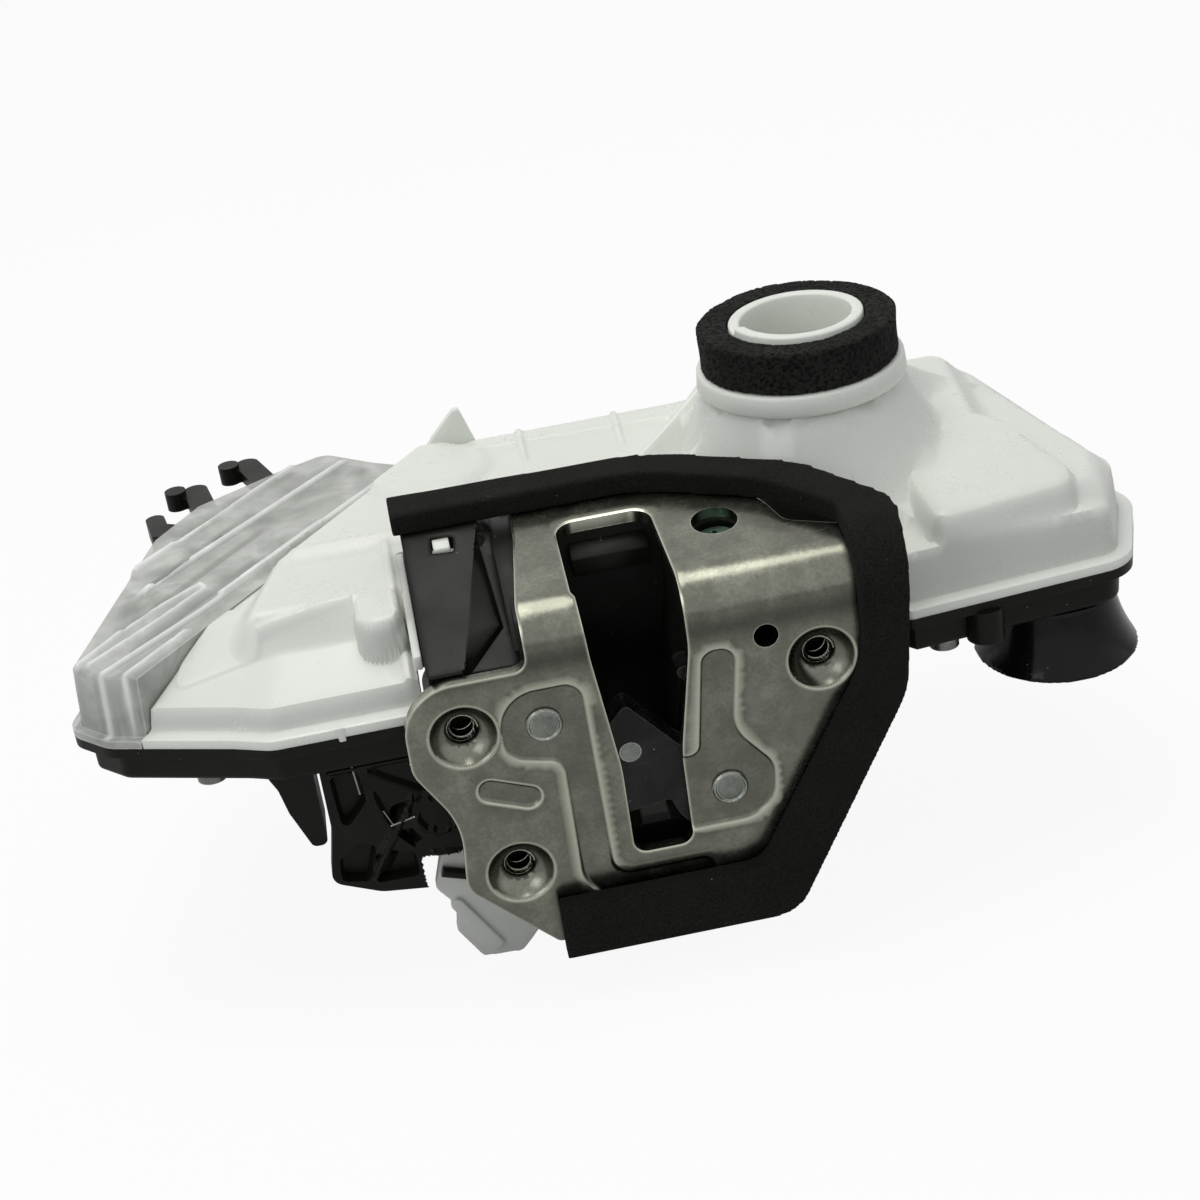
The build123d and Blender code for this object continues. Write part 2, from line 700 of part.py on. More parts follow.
def cover_mass(inset, low):
    """Outer form of the cover, or its hollow when moved inwards by the wall."""
    with BuildPart() as body:
        with BuildSketch(level(low)):
            case_outline(rim_w + inset, 1)
            if inset:
                with BuildLine() as strip:
                    Polyline(along_divide(-200, -40), along_divide(400, -40), along_divide(400, inset),
                             along_divide(-200, inset), close=True)
                make_face(strip.edges(), mode=Mode.SUBTRACT)
        extrude(amount=arm_top - inset - low)
        add(block(plateau, plateau_r, low, cover_top - inset, inset))
        add(block(right_field, right_r, low, right_top - inset, inset))
        add(block(pad, [3, 3, 3, 3, 3], low, pad_top - inset, inset))
        with BuildSketch(level(right_top - 8)):
            with Locations(spigot_at):
                Circle(tower_r - inset)
        with BuildSketch(level(collar_top - 5.0 - inset)):
            with Locations(spigot_at):
                Circle(collar_r - 1.0 - inset)
        loft()
        with BuildSketch(level(low)):
            case_outline(rim_w + inset, 1)
        extrude(amount=80, mode=Mode.INTERSECT)
    return body.part


cover_outer = cover_mass(0, part_z)
cover_inner = cover_mass(wall, part_z - 1)

with BuildPart() as cover_bosses:
    with BuildSketch(level(part_z)):
        with Locations(*case_screws_at[:6]):
            Circle(boss_r)
    extrude(amount=cover_top)
    add(cover_outer, mode=Mode.INTERSECT)

with BuildPart() as front_cover:
    add(cover_outer)
    with BuildSketch(level(part_z)):
        case_outline(0, 1)
    extrude(amount=rim_t)
    add(cover_inner, mode=Mode.SUBTRACT)
    # collar, spigot and the bosses of the case screws
    with BuildSketch(level(collar_top - 5.0)):
        with Locations(spigot_at):
            Circle(collar_r)
    extrude(amount=5.0)
    with BuildSketch(level(rotor_top + 1.0)):
        with Locations(spigot_at):
            Circle(spigot_r)
    extrude(amount=spigot_top - rotor_top - 1.0)
    add(cover_bosses.part)
    with BuildSketch(level(cover_top - 11.5)):
        with Locations(cover_screw_at):
            Circle(boss_r)
    extrude(amount=11.0)
    with BuildSketch(level(cover_top - 11.0)):
        with Locations(cover_screw_at):
            Circle(screw_r + 0.2 + screw_fit)
    extrude(amount=20, mode=Mode.SUBTRACT)
    with BuildSketch(level(rotor_top - 20)):
        with Locations(spigot_at):
            Circle(spigot_bore)
    extrude(amount=80, mode=Mode.SUBTRACT)
    with BuildSketch(level(part_z - 1)):
        with Locations(*case_screws_at[:6]):
            Circle(screw_r + screw_fit)
    extrude(amount=screw_len_up + 2, mode=Mode.SUBTRACT)
    # upright fin at the back, beside the wing
    with BuildSketch(Plane.XZ.offset(-case_back + rim_w + 0.2)):
        with BuildLine():
            Polyline((-35.0, arm_top - 1), (-33.0, cover_top + 0.5), (-28.5, cover_top + 8.0),
                     (-27.0, cover_top + 7.2), (-21.0, cover_top - 1), (-21.0, arm_top - 1), (-35.0, arm_top - 1))
        make_face()
    extrude(amount=2.0)
front_cover.part.label = "front_cover"

# ================================================================ wing cover
lever_z = 18.6
lever_t = 3.0
lever_gap = 0.4
lever_tips = [(-77.5, 131.5), (-90.5, 121.0)]
slot_rows = [(9.0, 34.0, 46.0), (17.5, 44.0, 52.0), (26.0, 60.0, 34.0), (34.0, 72.0, 30.0)]
with BuildPart() as wing_cover:
    with BuildSketch(level(part_z)):
        case_outline(rim_w - 1.2, -1)
    extrude(amount=wing_top - part_z)
    fillet(wing_cover.faces().sort_by(Axis.Z)[-1].edges(), radius=1.2)
    with BuildSketch(level(part_z)):
        case_outline(0, -1)
    extrude(amount=1.8)
    with BuildSketch(level(part_z - 1)):
        case_outline(rim_w - 1.2 + wing_wall, -1)
        with BuildLine():
            Polyline(along_divide(-200, -wing_wall), along_divide(400, -wing_wall), along_divide(400, 400),
                     along_divide(-200, 400), along_divide(-200, -wing_wall))
        make_face(mode=Mode.SUBTRACT)
    extrude(amount=wing_top - part_z + 1 - wing_wall, mode=Mode.SUBTRACT)
    # long slots that run along the joint with the cover
    with BuildSketch(level(wing_top - 5)):
        for across, middle, length in slot_rows:
            with Locations(Location(along_divide(middle, -across), divide_angle)):
                SlotOverall(length, 3.0)
    extrude(amount=20, mode=Mode.SUBTRACT)
    # bosses on the pins and screws, and the window for the levers
    with BuildSketch(level(part_z)):
        with Locations(*case_screws_at[6:]):
            Circle(boss_r)
    extrude(amount=wing_top - part_z - 1)
    with BuildSketch(level(part_z - 1)):
        with Locations(*case_screws_at[6:]):
            Circle(screw_r + screw_fit)
    extrude(amount=screw_len_up + 2, mode=Mode.SUBTRACT)
    with BuildSketch(level(lever_z - 1.0)):
        with BuildLine():
            Polyline((-62.0, 112.0), (-62.0, 140.0), (-114.0, 140.0), (-99.0, 96.0), (-84.0, 99.0),
                     (-62.0, 112.0))
        make_face()
    extrude(amount=lever_t + 2.0, mode=Mode.SUBTRACT)
    with BuildSketch(level(part_z)):
        with Locations(*lever_pins_at):
            Circle(lever_pin_r + skin_gap)
    extrude(amount=wing_top - part_z - 1.2, mode=Mode.SUBTRACT)
wing_cover.part.label = "wing_cover"

# ---- cable levers under the wing, on two pins
pin_top = wing_top - wing_wall - 0.1
with BuildPart() as lever_pins:
    with BuildSketch(level(case_floor + wall + skin_gap)):
        with Locations(*lever_pins_at):
            Circle(lever_pin_r)
    extrude(amount=pin_top - case_floor - wall - skin_gap)
    with BuildSketch(level(part_z + skin_gap)):
        with Locations(*lever_pins_at):
            Circle(lever_pin_r + 2.0)
    extrude(amount=lever_z - lever_gap - part_z - skin_gap)
lever_pins.part.label = "lever_pins"


def cable_lever(pin, tip, width):
    """Flat lever from its pin to a hooked end outside the wing."""
    reach = ((tip[0] - pin[0]) ** 2 + (tip[1] - pin[1]) ** 2) ** 0.5
    aim = degrees(atan2(tip[1] - pin[1], tip[0] - pin[0]))
    with BuildPart() as body:
        with BuildSketch(level(lever_z)):
            with Locations(pin):
                Circle(5.2)
            with Locations(Location(turned((reach / 2, 0), pin, aim), aim)):
                SlotOverall(reach + width, width)
            with Locations(Location(turned((reach - 1.0, 2.6), pin, aim), aim + 90)):
                SlotOverall(9.0, 4.6)
            with Locations(pin):
                Circle(lever_pin_r + run_fit, mode=Mode.SUBTRACT)
        extrude(amount=lever_t)
        with BuildSketch(level(lever_z)):
            with Locations(turned((reach - 1.0, 5.0), pin, aim)):
                Circle(2.6)
        extrude(amount=lever_t + 1.6)
    return body


inside_lever = cable_lever(lever_pins_at[0], lever_tips[0], 6.0)
inside_lever.part.label = "inside_lever"
locking_lever = cable_lever(lever_pins_at[1], lever_tips[1], 6.0)
locking_lever.part.label = "locking_lever"

# ---- cable clip on the wing's edge
with BuildPart() as cable_clip:
    with BuildSketch(level(part_z + 1.8 + skin_gap)):
        with Locations(Location((-99.6, 104.0), 58)):
            Rectangle(7.0, 6.0, align=(Align.MIN, Align.CENTER))
    extrude(amount=8.5)
    with BuildSketch(level(part_z + 9.0)):
        with Locations(Location((-99.6, 104.0), 100)):
            SlotOverall(13.0, 4.6)
    extrude(amount=4.5)
    with BuildSketch(level(part_z)):
        case_outline(rim_w - 1.2 - skin_gap)
    extrude(amount=30, mode=Mode.SUBTRACT)
cable_clip.part.label = "cable_clip"

# ================================================================ key spigot
with BuildPart() as foam_ring:
    with BuildSketch(level(collar_top + skin_gap)):
        with Locations(spigot_at):
            Circle(foam_r)
            Circle(spigot_r + skin_gap, mode=Mode.SUBTRACT)
    extrude(amount=foam_h)
foam_ring.part.label = "foam_ring"

rotor_hub_r = 6.0
with BuildPart() as key_rotor:
    with BuildSketch(level(case_floor + wall + body_gap)):
        with Locations(spigot_at):
            Circle(rotor_hub_r)
    extrude(amount=rotor_top - case_floor - wall - body_gap)
    with BuildSketch(level(rotor_top - 5.0)):
        with Locations(spigot_at):
            Circle(rotor_r)
    extrude(amount=5.0)
    with BuildSketch(level(5.0)):
        with Locations(Location(polar(spigot_at, 5.5, 225), 225)):
            SlotOverall(11.0, 5.0)
    extrude(amount=3.0)
    with BuildSketch(level(rotor_top - 3.2)):
        with Locations(spigot_at):
            Rectangle(12.0, 2.6)
    extrude(amount=10, mode=Mode.SUBTRACT)
    with BuildSketch(level(case_floor)):
        with Locations(spigot_at):
            Circle(post_r + run_fit)
    extrude(amount=26.0 + body_gap - case_floor, mode=Mode.SUBTRACT)
key_rotor.part.label = "key_rotor"

# ================================================================ connector
hood_half = (13.5, 14.5)
hood_mid_half = (15.0, 16.2)
hood_low_half = (18.5, 19.5)
with BuildPart() as connector_hood:
    for shrink, mode in ((0.0, Mode.ADD), (hood_wall, Mode.SUBTRACT)):
        for z, half in ((case_floor - skin_gap, hood_half), (-9.0, hood_mid_half), (hood_low, hood_low_half)):
            drop = shrink if z > hood_low + 1 else 0.0
            with BuildSketch(level(z - (0.0 if z < -3 else drop) - (0.1 if shrink and z == hood_low else 0.0))):
                with Locations(hood_at):
                    Ellipse(half[0] - shrink, half[1] - shrink)
        loft(mode=mode)
    with BuildSketch(level(case_floor - 10)):
        with Locations(hood_at):
            Rectangle(socket_size[0] + 0.2, socket_size[1] + 0.2)
    extrude(amount=20, mode=Mode.SUBTRACT)
connector_hood.part.label = "connector_hood"

with BuildPart() as connector_socket:
    with BuildSketch(level(socket_low)):
        with Locations(hood_at):
            Rectangle(*socket_size)
    extrude(amount=part_z - 2 - socket_low)
    with BuildSketch(level(case_floor + wall + skin_gap)):
        with Locations(hood_at):
            Rectangle(socket_size[0] + 1.6, socket_size[1] + 4)
    extrude(amount=2.0)
    with BuildSketch(level(socket_low - 1)):
        with Locations(hood_at):
            Rectangle(socket_size[0] - 3, socket_size[1] - 3)
    extrude(amount=11, mode=Mode.SUBTRACT)
    with BuildSketch(level(socket_low)):
        with Locations(hood_at):
            with GridLocations(3.6, 3.6, 4, 2):
                Rectangle(0.9, 0.9)
    extrude(amount=40, mode=Mode.SUBTRACT)
connector_socket.part.label = "connector_socket"

with BuildPart() as contact_pins:
    with BuildSketch(level(socket_low + 1.5)):
        with Locations(hood_at):
            with GridLocations(3.6, 3.6, 4, 2):
                Rectangle(0.8, 0.8)
    extrude(amount=carrier_z - skin_gap - socket_low - 1.5)
contact_pins.part.label = "contact_pins"

carrier_outline = [(-16.0, 77.0), (86.0, 77.0), (88.0, 26.0), (107.0, 26.0), (109.5, 50.0), (98.0, 94.0),
                   (-16.0, 94.0)]
with BuildPart() as circuit_carrier:
    with BuildSketch(level(carrier_z)):
        outline(carrier_outline, [3, 3, 3, 4, 4, 4, 3])
        with Locations(*case_screws_at[:6]):
            Circle(boss_r + 0.5, mode=Mode.SUBTRACT)
    extrude(amount=carrier_t)
circuit_carrier.part.label = "circuit_carrier"

with BuildPart() as position_switches:
    with BuildSketch(level(carrier_z - skin_gap - 3.3)):
        with Locations((-9.0, 81.0), (80.0, 84.0)):
            Rectangle(10.0, 6.0)
    extrude(amount=3.3)
    with BuildSketch(level(carrier_z - 3.8)):
        with Locations((-11.0, 81.0), (78.0, 84.0)):
            Rectangle(2.0, 3.0)
    extrude(amount=1.0)
position_switches.part.label = "position_switches"


# ================================================================ motor and gear train
def gear_profile(teeth, size, share):
    """Trapezoid-toothed wheel drawn round the sketch origin; a tooth points along X."""
    pitch_r = size * teeth / 2
    thick = size * pi * share
    flank = tan(radians(20)) * size
    Circle(pitch_r - 1.25 * size)
    foot, tip = thick / 2 + flank, thick / 2 - 0.85 * flank
    with PolarLocations(0, teeth):
        Polygon((pitch_r - 1.6 * size, -foot), (pitch_r + 0.9 * size, -tip), (pitch_r + 0.9 * size, tip),
                (pitch_r - 1.6 * size, foot), align=None)


tooth_pitch = pi * module_mm
worm_len = worm_turns * tooth_pitch
worm_x = wheel_at[0] - worm_len / 2
shaft_r = 1.2
with BuildPart() as worm:
    with BuildSketch(Plane.YZ.offset(worm_x - 1.0)):
        with Locations((worm_at_y, drive_z)):
            Circle(worm_pitch_r - 1.25 * module_mm)
    extrude(amount=worm_len + 2.0)
    with BuildSketch(Plane.YZ.offset(worm_x - 5.0)):
        with Locations((worm_at_y, drive_z)):
            Circle(shaft_r)
    extrude(amount=motor_x + 6.0 - worm_x)
    root_r = worm_pitch_r - 1.4 * module_mm
    with BuildLine() as lead:
        Helix(pitch=tooth_pitch, height=worm_len, radius=root_r, center=(worm_x, worm_at_y, drive_z),
              direction=(1, 0, 0))
    thread_path = lead.line
    start = thread_path @ 0
    outward = Vector(0, start.Y - worm_at_y, start.Z - drive_z).normalized()
    with BuildSketch(Plane(origin=start, x_dir=outward, z_dir=thread_path % 0)) as tooth:
        half_thick = tooth_pitch * tooth_share / 2
        Polygon((0, -half_thick - 0.45), (2.2 * module_mm, -half_thick + 0.3),
                (2.2 * module_mm, half_thick - 0.3), (0, half_thick + 0.45), align=None)
    sweep(tooth.sketch, path=thread_path, is_frenet=True)
worm.part.label = "worm"

# The thread passes the wheel's side of the worm once a turn; the wheel is turned to give it a gap there.
start_angle = degrees(atan2(start.Z - drive_z, start.Y - worm_at_y))
thread_shift = ((180.0 - start_angle) % 360.0) / 360.0 * tooth_pitch
thread_x = worm_x + thread_shift + tooth_pitch * (worm_turns // 2)
wheel_pitch_r = module_mm * wheel_teeth / 2
wheel_phase = 90.0 + 180.0 / wheel_teeth - degrees((thread_x - wheel_at[0]) / wheel_pitch_r)

with BuildPart() as lock_gear:
    with BuildSketch(Plane(origin=(*wheel_at, drive_z - wheel_t / 2), x_dir=polar((0, 0), 1, wheel_phase))):
        gear_profile(wheel_teeth, module_mm, tooth_share)
    extrude(amount=wheel_t)
    with BuildSketch(Plane(origin=(*wheel_at, drive_z + wheel_t / 2))):
        gear_profile(pinion_teeth, module_mm, 0.42)
    extrude(amount=pinion_t)
    with BuildSketch(level(case_floor + wall + body_gap)):
        with Locations(wheel_at):
            Circle(post_r + 2.0)
    extrude(amount=drive_z - case_floor - wall - body_gap)
    with BuildSketch(level(case_floor)):
        with Locations(wheel_at):
            Circle(post_r + run_fit)
    extrude(amount=40, mode=Mode.SUBTRACT)
lock_gear.part.label = "lock_gear"

sector_z = drive_z + wheel_t / 2 + body_gap
with BuildPart() as lock_lever:
    with BuildSketch(Plane(origin=(*sector_at, sector_z), x_dir=polar((0, 0), 1, 180.0 / sector_teeth))):
        gear_profile(sector_teeth, module_mm, 0.42)
        with BuildLine():
            Polyline((0, 0), polar((0, 0), 60, -31), polar((0, 0), 80, 0), polar((0, 0), 60, 50), (0, 0))
        make_face(mode=Mode.INTERSECT)
        Circle(post_r + 3.0)
        with Locations((-11.0, 0)):
            SlotOverall(30.0, 7.0)
        with Locations((-22.0, 0)):
            SlotOverall(5.0, 2.4, mode=Mode.SUBTRACT)
        Circle(post_r + run_fit, mode=Mode.SUBTRACT)
    extrude(amount=pinion_t - 2 * body_gap)
    with BuildSketch(level(case_floor + wall + body_gap)):
        with Locations(sector_at):
            Circle(post_r + 2.0)
            Circle(post_r + run_fit, mode=Mode.SUBTRACT)
    extrude(amount=sector_z - case_floor - wall - body_gap)
lock_lever.part.label = "lock_lever"

with BuildPart() as motor_can:
    with BuildSketch(Plane.YZ.offset(motor_x)):
        with Locations((worm_at_y, drive_z)):
            Circle(motor_r)
            Rectangle(2 * motor_r + 1, 2 * motor_half_h, mode=Mode.INTERSECT)
    extrude(amount=motor_len)
    with BuildSketch(Plane.YZ.offset(motor_x - 1.4)):
        with Locations((worm_at_y, drive_z)):
            Circle(3.4)
    extrude(amount=1.4)
    with BuildSketch(Plane.YZ.offset(motor_x - 2)):
        with Locations((worm_at_y, drive_z)):
            Circle(shaft_r + run_fit)
    extrude(amount=9, mode=Mode.SUBTRACT)
motor_can.part.label = "motor_can"

with BuildPart() as motor_end_cap:
    with BuildSketch(Plane.YZ.offset(motor_x + motor_len + skin_gap)):
        with Locations((worm_at_y, drive_z)):
            Circle(motor_r - 0.8)
            Rectangle(2 * motor_r + 1, 2 * motor_half_h - 1, mode=Mode.INTERSECT)
    extrude(amount=2.4)
    for side in (-5.5, 5.5):
        with BuildSketch(level(drive_z)):
            with Locations((motor_x + motor_len + 1.2, worm_at_y + side)):
                Rectangle(0.8, 2.2)
        extrude(amount=carrier_z - skin_gap - drive_z)
motor_end_cap.part.label = "motor_end_cap"

# ================================================================ screws
with BuildPart() as case_screws:
    with BuildSketch(level(case_floor - skin_gap - 2.2)):
        with Locations(*case_screws_at):
            Circle(3.3)
            RegularPolygon(1.5, 6, mode=Mode.SUBTRACT)
    extrude(amount=2.2)
    with BuildSketch(level(case_floor - skin_gap - 0.9)):
        with Locations(*case_screws_at):
            Circle(screw_r)
    extrude(amount=part_z + screw_len_up - case_floor)
case_screws.part.label = "case_screws"

cover_screw_seat = cover_top + skin_gap
with BuildPart() as latch_screws:
    for at, seat, length in ((driver_hole, head_seat_z + skin_gap, 14.0),
                             (cover_screw_at, cover_screw_seat, 10.0)):
        with BuildSketch(level(seat)):
            with Locations(at):
                Circle(4.1)
        extrude(amount=2.6, taper=8)
        with BuildSketch(level(seat - length)):
            with Locations(at):
                Circle(screw_r + 0.2)
        extrude(amount=length)
        with BuildSketch(level(seat + 1.2)):
            with Locations(at):
                Rectangle(4.6, 1.1)
                Rectangle(1.1, 4.6)
        extrude(amount=4, mode=Mode.SUBTRACT)
latch_screws.part.label = "latch_screws"

# ================================================================ lever bracket and release lever
release_pivot_at = (-38.0, -24.0)
bracket_front = tray_back + skin_gap
release_y = bracket_front + 3.4
release_t = 3.0
bracket_web_y = release_y + release_t + body_gap
bracket_back = bracket_web_y + 3.4
bracket_top = case_floor - skin_gap
bracket_outline = [(-69.0, bracket_top), (-69.0, -17.5), (-71.6, -30.5), (-61.0, -35.4), (-44.0, -37.6),
                   (-31.0, -34.0), (-29.0, bracket_top)]
bracket_r = [0, 6, 3, 8, 8, 5, 0]
bracket_cells = [
    [(-67.5, -27.5), (-60.5, -32.2), (-62.0, -24.5)],
    [(-59.5, -24.0), (-52.5, -32.6), (-59.2, -31.6)],
    [(-66.8, -22.5), (-66.8, -8.0), (-60.5, -15.0)],
    [(-64.0, -5.0), (-54.0, -5.0), (-58.6, -12.0)],
]
with BuildPart() as lever_bracket:
    with BuildSketch(face(bracket_back)):
        outline(bracket_outline, bracket_r)
    extrude(amount=bracket_back - bracket_front)
    # bay in which the release lever swings, and ribbed cells beside it
    with BuildSketch(face(bracket_web_y)):
        with Locations((-51.5, -60.0)):
            Rectangle(60.0, 100.0, align=(Align.MIN, Align.MIN))
    extrude(amount=20, mode=Mode.SUBTRACT)
    with BuildSketch(face(bracket_back - 2.0)):
        for cell in bracket_cells:
            outline(cell, [0.8, 0.8, 0.8])
    extrude(amount=20, mode=Mode.SUBTRACT)
    with BuildSketch(face(bracket_back + 1)):
        with Locations(release_pivot_at):
            Circle(lever_pin_r + skin_gap)
    extrude(amount=30, mode=Mode.SUBTRACT)
lever_bracket.part.label = "lever_bracket"

with BuildPart() as release_pin:
    with BuildSketch(face(bracket_back + 0.2)):
        with Locations(release_pivot_at):
            Circle(lever_pin_r)
    extrude(amount=bracket_back + 0.2 - bracket_front - skin_gap)
    with BuildSketch(face(bracket_back + 1.2 + skin_gap)):
        with Locations(release_pivot_at):
            Circle(lever_pin_r + 1.6)
    extrude(amount=1.2)
release_pin.part.label = "release_pin"

release_outline = [(-24.0, -6.0), (-30.0, -5.0), (-44.5, -22.0), (-49.6, -38.6), (-45.6, -44.3), (-46.7, -50.8),
                   (-42.0, -59.0), (-33.0, -59.6), (-27.6, -53.6), (-31.0, -40.0), (-30.5, -21.0)]
with BuildPart() as release_lever:
    with BuildSketch(face(release_y + release_t)):
        outline(release_outline, [1.5, 2, 8, 2, 1.5, 1.5, 1.5, 2, 3, 8, 8])
        with Locations(release_pivot_at):
            Circle(lever_pin_r + run_fit, mode=Mode.SUBTRACT)
    extrude(amount=release_t)
    # stiffening bar on the hanging end
    with BuildSketch(face(release_y + 0.5)):
        with Locations(Location((-42.0, -49.5), -60)):
            SlotOverall(17.0, 3.0)
    extrude(amount=1.7)
release_lever.part.label = "release_lever"

rod_r = 1.2
with BuildPart() as link_rod:
    with BuildSketch(Plane(origin=(-47.4, release_y - rod_r - skin_gap, -33.8), x_dir=(0, 1, 0),
                           z_dir=(16.6, 0, -5.8))):
        Circle(rod_r)
    extrude(amount=17.4)
link_rod.part.label = "link_rod"

# ================================================================ write the pieces
pieces = [face_plate, plate_seal, latch_body, shoulder_panel, back_plate, fork_pivot, pawl_pivot, fork_bolt,
          fork_insert, pawl, fork_spring, pawl_spring, striker_bumper, rear_case, case_seal, front_cover,
          wing_cover, lever_pins, inside_lever, locking_lever, cable_clip, foam_ring, key_rotor, connector_hood,
          connector_socket, contact_pins, circuit_carrier, position_switches, worm, lock_gear, lock_lever,
          motor_can, motor_end_cap, case_screws, latch_screws, lever_bracket, release_pin, release_lever, link_rod]
for piece in pieces:
    export_step(piece.part, f"parts/{piece.part.label}.step")
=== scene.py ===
"""Looks of the door latch actuator: white case, zinc-plated face plate, foam seals, black mechanism."""

import math

import bmesh
import bpy
import numpy as np
from mathutils import Matrix, Vector, noise
from mathutils.geometry import delaunay_2d_cdt
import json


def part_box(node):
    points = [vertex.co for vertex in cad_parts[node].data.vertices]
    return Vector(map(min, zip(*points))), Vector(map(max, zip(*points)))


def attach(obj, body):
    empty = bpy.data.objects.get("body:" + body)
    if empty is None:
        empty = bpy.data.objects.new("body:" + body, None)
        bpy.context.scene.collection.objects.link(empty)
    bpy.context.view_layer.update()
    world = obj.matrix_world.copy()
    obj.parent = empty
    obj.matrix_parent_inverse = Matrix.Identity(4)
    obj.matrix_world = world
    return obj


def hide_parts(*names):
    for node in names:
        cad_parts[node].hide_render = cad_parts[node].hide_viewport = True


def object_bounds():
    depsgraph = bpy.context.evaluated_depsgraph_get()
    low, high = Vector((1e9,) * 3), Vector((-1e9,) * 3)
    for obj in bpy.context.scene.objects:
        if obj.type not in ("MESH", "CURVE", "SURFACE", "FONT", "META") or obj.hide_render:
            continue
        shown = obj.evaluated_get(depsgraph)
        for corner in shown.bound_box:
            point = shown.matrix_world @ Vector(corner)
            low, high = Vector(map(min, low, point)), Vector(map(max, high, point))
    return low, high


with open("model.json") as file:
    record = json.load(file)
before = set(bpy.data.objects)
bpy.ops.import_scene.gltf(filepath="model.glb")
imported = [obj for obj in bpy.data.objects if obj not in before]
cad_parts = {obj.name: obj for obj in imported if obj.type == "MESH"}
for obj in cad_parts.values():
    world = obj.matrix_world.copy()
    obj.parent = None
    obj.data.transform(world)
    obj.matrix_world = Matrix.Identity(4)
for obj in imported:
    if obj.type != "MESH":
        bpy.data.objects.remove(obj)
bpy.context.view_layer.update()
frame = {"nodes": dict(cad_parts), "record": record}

MM = 0.001
NODES = frame["nodes"]


# ---------------------------------------------------------------- shader groups
def group(name, inputs, outputs):
    """Empty shader node group with float inputs (name, value) and outputs (name, socket type)."""
    tree = bpy.data.node_groups.new(name, "ShaderNodeTree")
    for label, value in inputs:
        socket = tree.interface.new_socket(label, in_out="INPUT", socket_type="NodeSocketFloat")
        socket.default_value = value
    for label, kind in outputs:
        tree.interface.new_socket(label, in_out="OUTPUT", socket_type=kind)
    return tree, tree.nodes.new("NodeGroupInput"), tree.nodes.new("NodeGroupOutput")


def node(tree, kind, links=(), **settings):
    """Adds a shader node; links are (input, source socket or plain value)."""
    made = tree.nodes.new(kind)
    for key, value in settings.items():
        setattr(made, key, value)
    for key, value in links:
        if isinstance(value, bpy.types.NodeSocket):
            tree.links.new(value, made.inputs[key])
        else:
            made.inputs[key].default_value = value
    return made


def math_node(tree, operation, first, second=0.0, third=0.0, clamp=False):
    return node(tree, "ShaderNodeMath", [(0, first), (1, second), (2, third)], operation=operation,
                use_clamp=clamp).outputs[0]


def ramp(tree, value, low, high):
    """Value mapped smoothly from the span low..high to 0..1."""
    return node(tree, "ShaderNodeMapRange", [("Value", value), ("From Min", low), ("From Max", high)],
                interpolation_type="SMOOTHSTEP").outputs[0]


def place(tree, scale=(1.0, 1.0, 1.0), turn=(0.0, 0.0, 0.0)):
    """Object coordinates in millimetres, stretched by scale and turned."""
    coordinates = node(tree, "ShaderNodeTexCoord").outputs["Object"]
    size = tuple(1000.0 * s for s in scale)
    return node(tree, "ShaderNodeMapping", [("Vector", coordinates), ("Scale", size),
                                            ("Rotation", turn)]).outputs[0]


def edge_wear_and_highlight_group():
    """Mask of edges, for edge rubbing and painted highlight: where the rounded normal leaves the plain one,
    broken up by noise.
    """
    tree, into, out = group("EdgeWearAndHighlight", [("Radius", 0.0005), ("Break up", 0.6)],
                            [("Mask", "NodeSocketFloat")])
    soft = node(tree, "ShaderNodeBevel", [("Radius", into.outputs["Radius"])], samples=4).outputs[0]
    plain = node(tree, "ShaderNodeNewGeometry").outputs["Normal"]
    dot = node(tree, "ShaderNodeVectorMath", [(0, soft), (1, plain)],
               operation="DOT_PRODUCT").outputs["Value"]
    edge = ramp(tree, dot, 0.995, 0.80)
    blots = node(tree, "ShaderNodeTexNoise", [("Vector", place(tree)), ("Scale", 0.9),
                                              ("Detail", 6.0)]).outputs["Fac"]
    gone = math_node(tree, "MULTIPLY", ramp(tree, blots, 0.42, 0.60), into.outputs["Break up"])
    kept = math_node(tree, "SUBTRACT", 1.0, gone)
    tree.links.new(math_node(tree, "MULTIPLY", edge, kept), out.inputs["Mask"])
    return tree


def grain_group():
    """Fine spark-eroded grain of a mould: height and a roughness that shifts with it."""
    tree, into, out = group("MouldGrain", [("Grain per mm", 4.0), ("Roughness", 0.4), ("Spread", 0.1)],
                            [("Height", "NodeSocketFloat"), ("Roughness", "NodeSocketFloat")])
    spot = place(tree)
    fine = node(tree, "ShaderNodeTexNoise", [("Vector", spot), ("Scale", into.outputs["Grain per mm"]),
                                             ("Detail", 3.0), ("Roughness", 0.6)]).outputs["Fac"]
    broad = node(tree, "ShaderNodeTexNoise", [("Vector", spot), ("Scale", 0.09),
                                              ("Detail", 4.0)]).outputs["Fac"]
    shift = math_node(tree, "ADD", math_node(tree, "SUBTRACT", fine, 0.5),
                      math_node(tree, "SUBTRACT", broad, 0.5))
    rough = math_node(tree, "MULTIPLY_ADD", shift, into.outputs["Spread"], into.outputs["Roughness"],
                      clamp=True)
    tree.links.new(fine, out.inputs["Height"])
    tree.links.new(rough, out.inputs["Roughness"])
    return tree


